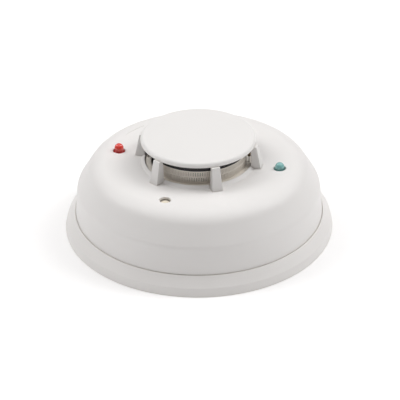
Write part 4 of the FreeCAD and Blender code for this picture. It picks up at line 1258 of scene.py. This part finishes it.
place(joined("board_screw_set", [make_board_screw(turn) for turn in SCREW_ANGLES]), "head", "screw_steel",
      ["board_screws"], zinc_steel)

# %% [markdown]
# ## Contact blades
# Each blade is a stamped strip bent into an L: a foot soldered under the board and a blade that hangs
# through the slot of the housing. Its tip is coined to a taper so that it opens the spring fork below.

# %% Contact blades
def make_blade(index, turn):
    low, top = height(f"contact_blade_{index}")
    blade = brick("blade", BLADE_NEAR, BLADE_FAR, 6.0, low + 1.2, top - 0.3, turn, 0, 0.1)
    tip = shaped_block("tip", (BLADE_NEAR + 0.25, BLADE_FAR - 0.25, 4.6, low),
                       (BLADE_NEAR, BLADE_FAR, 6.0, low + 1.4), 0.08, turn)
    foot = brick("foot", 42.6, BLADE_FAR, 6.0, top - 0.8, top, turn, 0, 0.18)
    add(add(blade, tip), foot)
    hole = moved(pin("dimple", 0.7, top - 2, top + 1, 28), 44.2, turn)
    blade.name = f"contact_blade_{index}_strip"
    return soften(cut(blade, hole))


for index, turn in enumerate(TERMINAL_ANGLES, start=1):
    name = f"contact_blade_{index}"
    place(make_blade(index, turn), "head", "blade_metal", [name], bright_brass)

# %% [markdown]
# ## Terminals of the base
# Under each seat screw lies a clamp plate with grooves that bite the wire, and its outer end is folded up
# into a spring fork for the blade. A square washer with clipped corners presses the wire down. The screw
# has a slotted pan head and rings for its thread.

# %% Terminal plates
def make_plate(index, turn):
    low, top = height(f"terminal_plate_{index}")
    flat = brick("flat", SEAT_NEAR, SEAT_FAR, 9.0, low, low + 0.8, turn, 0, 0.12)
    for near, far in ((45.7, 46.3), (47.7, 48.3)):
        middle = (near + far) / 2
        flare = 0.08 if near > BLADE_R else -0.08
        leaf = shaped_block("leaf", (near, far, 8.0, low + 0.5), (near + 0.06, far - 0.06, 6.8, top), 0.1,
                            turn)
        stud = moved(turned("stud", [(0, low, 0), (0.5, low, 0), (0.5, top - 1.6, 0.2), (0, top - 1.6, 0)],
                            20), middle + flare, turn)
        add(leaf, stud)
        add(flat, leaf)
    grooves = [brick("groove", 38.0 + 0.9 * step, 38.3 + 0.9 * step, 7.2, low + 0.66, low + 2, turn, 0, 0)
               for step in range(8)]
    grooves.append(moved(pin("hole", 1.75, low - 1, low + 2, 40), TERMINAL_R, turn))
    for tool in grooves:
        cut(flat, tool)
    flat.name = f"terminal_plate_{index}_fork"
    return soften(flat)


for index, turn in enumerate(TERMINAL_ANGLES, start=1):
    name = f"terminal_plate_{index}"
    place(make_plate(index, turn), "base", "terminal_metal", [name], tinned_brass)


# %% [markdown]
# The washers are stamped squares with clipped corners. The screws are turned with a ring for every turn of
# the thread, which reads the same as a thread at this size and keeps the mesh closed.

# %% Terminal washers and screws
def make_washer(turn):
    low, top = height("terminal_washers")
    washer = brick("washer", 37.9, 45.1, 7.2, low, top, turn, 0, 0.15)
    cut(washer, moved(pin("hole", 1.75, low - 1, top + 1, 40), TERMINAL_R, turn))
    for corner in range(4):
        clip = brick("clip", 4.35, 6.0, 6.0, low - 1, top + 1, 45 + 90 * corner, 0, 0)
        cut(washer, moved(clip, TERMINAL_R, turn))
    return soften(washer)


def make_terminal_screw(turn):
    low, top = height("terminal_screws")
    under = top - 1.7
    outline = [(0, low, 0), (1.0, low, 0), (1.4, low + 0.4, 0)]
    level = low + 0.5
    while level < under - 0.5:
        outline += [(1.4, level, 0), (1.7, level + 0.2, 0), (1.4, level + 0.4, 0)]
        level += 0.6
    outline += [(1.7, under - 0.1, 0), (1.7, under, 0), (3.1, under, 0.15), (3.1, under + 0.9, 0.4),
                (2.3, top, 0.9), (0, top, 0)]
    screw = turned("terminal_screw", outline, 56)
    cut(screw, brick("slot", -4, 4, 0.8, top - 0.85, top + 1, 0, 0, 0))
    return moved(soften(screw), TERMINAL_R, turn)


place(joined("terminal_washer_set", [make_washer(turn) for turn in TERMINAL_ANGLES]), "base",
      "screw_steel", ["terminal_washers"], zinc_steel)
place(joined("terminal_screw_set", [make_terminal_screw(turn) for turn in TERMINAL_ANGLES]), "base",
      "screw_steel", ["terminal_screws"], zinc_steel)

# %% [markdown]
# ## Chamber base
# A round pedestal lifts the chamber off the board. Its deck carries fine rings that swallow stray light and
# two cradles for the emitter and the receiver. Six low openings are cut in its wall, so the space under the
# deck isn't sealed.

# %% Chamber base
OPTIC_Z = height("ir_emitter")[1] - 2.0


def make_chamber_base():
    deck, under = 29.0, 27.0
    outline = [(SCREEN_R - 1.5, BOARD_TOP, 0.15), (SCREEN_R, BOARD_TOP, 0.15), (SCREEN_R, deck, 0.2)]
    for step in range(9):
        radius = SCREEN_R - 3.0 - 0.9 * step
        outline += [(radius, deck, 0), (radius - 0.45, deck - 0.3, 0)]
    outline += [(14.0, deck, 0), (0, deck, 0), (0, under, 0), (SCREEN_R - 1.5, under, 0.3)]
    piece = turned("chamber_pedestal", outline, 160)
    for turn in (EMITTER_ANGLE, DIODE_ANGLE):
        cradle = brick("cradle", 7.5, 13.5, 6.0, deck - 0.5, OPTIC_Z - 2.0, turn, 0, 0.25)
        add(piece, cradle)
    windows = [brick("window", SCREEN_R - 4, SCREEN_R + 2, 5.0, BOARD_TOP - 1, BOARD_TOP + 2.2,
                     40 + 60 * step, 0, 0) for step in range(6)]
    cut(piece, windows)
    return soften(piece)


place(make_chamber_base(), "head", "chamber_black", ["chamber_base"], chamber_black)

# %% [markdown]
# ## Emitter and receiver
# Both lie on their sides and look towards the middle. Each is a cast block with a round lens on its nose
# and a mould line round its waist; the emitter is clear with a bluish cast, the receiver nearly black.

# %% Emitter and receiver
def make_optic(name, turn):
    near, far = 7.5, 14.5
    body = brick(name + "_body", near, far, 4.0, OPTIC_Z - 2, OPTIC_Z + 2, 0, 0, 0.35)
    lens = [(0, 0, 0), (1.85, 0, 0)]
    lens += [(1.85 * math.cos(math.radians(a)), 0.1 + 1.85 * math.sin(math.radians(a)), 0)
             for a in range(0, 90, 9)]
    dome = turned("lens", lens + [(0, 1.95, 0)], 48)
    dome.data.transform(Matrix.Rotation(math.radians(-90), 4, "Y"))
    dome.data.transform(Matrix.Translation(((near + 0.02) * MM, 0, OPTIC_Z * MM)))
    add(body, dome)
    for level in (-2.2, 2.0):
        notch = brick("notch", far - 1.6, far - 1.3, 6.0, OPTIC_Z + level, OPTIC_Z + level + 0.2, 0, 0, 0)
        cut(body, notch)
    return moved(soften(body), 0, turn)


place(make_optic("ir_emitter", EMITTER_ANGLE), "head", "emitter_clear", ["ir_emitter"], water_epoxy)
place(make_optic("photodiode", DIODE_ANGLE), "head", "diode_black", ["photodiode"], smoked_epoxy)

# %% [markdown]
# ## Indicator spacers
# A moulded nylon tube stands under each indicator and holds it at the height of the cover. The two tubes
# differ in height, and each has a small flat and a chamfered mouth.

# %% Indicator spacers
def make_spacer(seat, turn):
    tube = turned("spacer", [(1.6, BOARD_TOP, 0.2), (2.7, BOARD_TOP, 0.25), (2.7, seat, 0.2),
                             (1.6, seat, 0.25)], 56)
    for side in (0, 180):
        cut(tube, brick("flat", 2.5, 4, 6, BOARD_TOP + 2.5, seat - 2.5, side, 0, 0))
    return moved(soften(tube), INDICATOR_R, INDICATOR_ANGLE + turn)


spacers = [make_spacer(GREEN_TOP - INDICATOR_HEIGHT, 0), make_spacer(RED_TOP - INDICATOR_HEIGHT, 180)]
place(joined("spacer_pair", spacers), "head", "spacer_white", ["led_spacers"], spacer_nylon)

# %% [markdown]
# ## Parts on the board
# The larger parts are all built the way they are made. The microcontroller is an epoxy body pressed in two
# halves, so both halves taper away from the line of the pins, and its gull wing pins are bent in three runs.

# %% Microcontroller
def make_chip_case():
    near, far, width, waist = CHIP_NEAR, CHIP_FAR, CHIP_WIDTH, BOARD_TOP + 0.85
    low = shaped_block("chip", (near + 0.15, far - 0.15, 6.7, BOARD_TOP + 0.2), (near, far, width, waist),
                       0.03)
    top = shaped_block("top", (near, far, width, waist - 0.02),
                       (near + 0.2, far - 0.2, 6.6, BOARD_TOP + 1.5), 0.04)
    add(low, top)
    dimple = moved(pin("dimple", 0.4, BOARD_TOP + 1.42, BOARD_TOP + 2, 24), near + 1.2, 0, 0, -2.4)
    cut(low, dimple)
    low.name = "microcontroller_case"
    return moved(soften(low), 0, CHIP_ANGLE)


def make_chip_pins():
    pins = []
    for count in range(8):
        side = 0.8 * (count - 3.5)
        for root, out in ((CHIP_NEAR, -1), (CHIP_FAR, 1)):
            spans = [(0.0, 0.35, 0.55, 0.7), (0.25, 0.4, 0.08, 0.7), (0.3, 0.8, 0.0, 0.15)]
            for start, end, low, top in spans:
                ends = sorted((root + out * start, root + out * end))
                pins.append(brick("pin", ends[0], ends[1], 0.36, BOARD_TOP + low, BOARD_TOP + top,
                                  CHIP_ANGLE, side, 0.03))
    return joined("microcontroller_pins", pins)


place(make_chip_case(), "head", "chip_black", ["microcontroller"], package_epoxy)
place(make_chip_pins(), "head", "chip_black", ["microcontroller"], tinned_lead)


# %% [markdown]
# The relay is a sealed case: a lid line runs round it near the board, and a small vent nib stands in the
# shallow panel of its top.

# %% Relay
def make_relay():
    top = height("alarm_relay")[1]
    near, far, line_low, line_top = RELAY_NEAR, RELAY_FAR, BOARD_TOP + 1.6, BOARD_TOP + 1.85
    case = brick("alarm_relay_case", near, far, RELAY_WIDTH, BOARD_TOP, top, 0, 0, 0.45)
    for start, end in ((near - 1, near + 0.12), (far - 0.12, far + 1)):
        cut(case, brick("line", start, end, 20, line_low, line_top, 0, 0, 0))
    for side in (-1, 1):
        cut(case, brick("line", near - 1, far + 1, 1.1, line_low, line_top, 0, side * 7.94, 0))
    panel = brick("panel", 34.2, 41.8, 12.4, top - 0.18, top + 1, 0, 0, 0.3)
    cut(case, panel)
    vent = turned("vent", [(0, top - 0.4, 0), (0.7, top - 0.4, 0), (0.7, top - 0.02, 0.12),
                           (0, top - 0.02, 0)], 28)
    add(case, moved(vent, 40.6, 0, 0, 5.0))
    return moved(soften(case), 0, RELAY_ANGLE)


place(make_relay(), "head", "relay_case", ["alarm_relay"], relay_plastic)


# %% [markdown]
# Two drawn cans with a crimped neck and a scored top that opens safely under pressure. A plastic sleeve is
# shrunk over each, so it is a second thin skin that follows the can.

# %% Capacitors
def make_can(turn):
    low, top = height("capacitors")
    outline = [(0, low, 0), (3.9, low, 0.3), (3.9, low + 0.9, 0.3), (3.55, low + 1.5, 0.4),
               (3.9, low + 2.1, 0.3), (3.9, top, 0.5), (3.3, top, 0.12), (3.1, top - 0.15, 0.1),
               (0, top - 0.15, 0)]
    can = turned("can", outline, 72)
    for score in (0, 60, 120):
        cut(can, brick("score", -2.6, 2.6, 0.3, top - 0.35, top + 1, score, 0, 0))
    return moved(soften(can), CAN_R, turn)


def make_sleeve(turn):
    """The shrunk sleeve follows the can and curls over its rim."""
    low, top = height("capacitors")
    outer = [(3.93, low + 0.3, 0.1), (4.0, low + 0.9, 0.3), (3.68, low + 1.5, 0.4), (4.0, low + 2.1, 0.3),
             (4.0, top - 0.03, 0.55), (3.4, top, 0.03)]
    inner = [(3.4, top - 0.1, 0.02), (3.88, top - 0.5, 0.3), (3.88, low + 2.1, 0.3), (3.55, low + 1.5, 0.4),
             (3.85, low + 0.9, 0.3), (3.85, low + 0.3, 0)]
    return moved(turned("sleeve", outer + inner, 72), CAN_R, turn)


place(joined("capacitor_cans", [make_can(turn) for turn in CAN_ANGLES]), "head", "capacitor_can",
      ["capacitors"], can_metal)
place(joined("capacitor_sleeves", [make_sleeve(turn) for turn in CAN_ANGLES]), "head", "capacitor_can",
      ["capacitors"], can_sleeve)


# %% [markdown]
# A disc dipped in resin, turned and then tipped on its edge. The resin runs a little way down both legs,
# and each leg ends in a cone of solder.

# %% Surge suppressor
def make_suppressor():
    centre = height("surge_suppressor")[1] - DISC_R
    disc = turned("surge_suppressor_disc", [(0, 0.25, 0), (2.6, 0.1, 0.4), (DISC_R, 0.5, 1.1),
                                            (DISC_R, 2.7, 1.1), (2.6, 3.1, 0.4), (0, 2.95, 0)], 64)
    disc.data.transform(Matrix.Rotation(math.radians(90), 4, "Y"))
    disc.data.transform(Matrix.Translation((DISC_X * MM, DISC_Y * MM, centre * MM)))
    for side in DISC_LEGS:
        run = turned("run", [(0, BOARD_TOP + 1.0, 0), (0.38, BOARD_TOP + 1.0, 0.1), (0.7, centre - 3.0, 0.2),
                             (1.0, centre - 1.5, 0.2), (0, centre - 1.5, 0)], 24)
        run.data.transform(Matrix.Translation(((DISC_X + 1.6) * MM, (DISC_Y + side) * MM, 0)))
        add(disc, run)
    return soften(disc)


def make_suppressor_legs():
    legs = []
    for side in DISC_LEGS:
        leg = turned("leg", [(0, BOARD_TOP, 0), (0.6, BOARD_TOP, 0), (0.32, BOARD_TOP + 0.35, 0.1),
                             (0.3, BOARD_TOP + 1.3, 0), (0, BOARD_TOP + 1.3, 0)], 20)
        leg.data.transform(Matrix.Translation(((DISC_X + 1.6) * MM, (DISC_Y + side) * MM, 0)))
        legs.append(leg)
    return joined("surge_suppressor_legs", legs)


place(make_suppressor(), "head", "suppressor_blue", ["surge_suppressor"], blue_epoxy)
place(make_suppressor_legs(), "head", "suppressor_blue", ["surge_suppressor"], tinned_lead)


# %% [markdown]
# Resistors and chip capacitors are ceramic bricks with bright end caps, set in two arcs round the chamber
# as a placing machine would leave them.

# %% Small parts
bodies, caps = [], []
for turn in [start + PART_PITCH * step for start in PART_ARCS for step in range(PART_COUNT)]:
    low, near = BOARD_TOP, SCREEN_R + 2.0
    bodies.append(brick("body", near + 0.3, near + 1.7, 1.15, low + 0.04, low + 0.55, turn, 0, 0.05))
    for start in (0.0, 1.6):
        caps.append(brick("cap", near + start, near + start + 0.4, 1.25, low, low + 0.6, turn, 0, 0.07))
place(joined("chip_part_bodies", bodies), "head", "chip_parts", ["chip_parts"], ceramic)
place(joined("chip_part_caps", caps), "head", "chip_parts", ["chip_parts"], tinned_lead)

# %% [markdown]
# ## Switch under the test button
# A tact switch with a riveted cover: a square case, four small rivet heads sunk level with it and a round
# stem whose top is dished. The stem stands in its socket and moves with the button above it.

# %% Switch
def make_switch():
    top = height("switch_body")[1]
    near, far = TEST_R - SWITCH_HALF, TEST_R + SWITCH_HALF
    case = brick("switch_case", near, far, 2 * SWITCH_HALF, BOARD_TOP, top, 0, 0, 0.2)
    line = brick("line", near - 1, far + 1, 8, top - 0.9, top - 0.75, 0, 0, 0)
    core = brick("core", near + 0.12, far - 0.12, 5.96, top - 1.2, top - 0.5, 0, 0, 0)
    cut(case, cut(line, core))
    cut(case, moved(pin("socket", 1.85, top - 1.6, top + 1, 48), TEST_R, 0))
    for across in RIVETS:
        for side in RIVETS:
            ring = turned("ring", [(0.4, top - 0.15, 0), (0.5, top - 0.15, 0), (0.5, top + 1, 0),
                                   (0.4, top + 1, 0)], 20)
            cut(case, moved(ring, TEST_R + across, 0, 0, side))
    return moved(soften(case), 0, TEST_ANGLE)


def make_stem():
    low, top = height("switch_stem")
    return moved(turned("switch_stem_pin", [
        (0, low, 0), (1.75, low, 0.1), (1.75, top, 0.25), (1.1, top, 0.05), (0.9, top - 0.12, 0.05),
        (0, top - 0.12, 0)], 48), TEST_R, TEST_ANGLE)


place(make_switch(), "head", "switch_case", ["switch_body"], switch_black)
place(make_stem(), "test_plunger", "switch_case", ["switch_stem"], stem_brown)
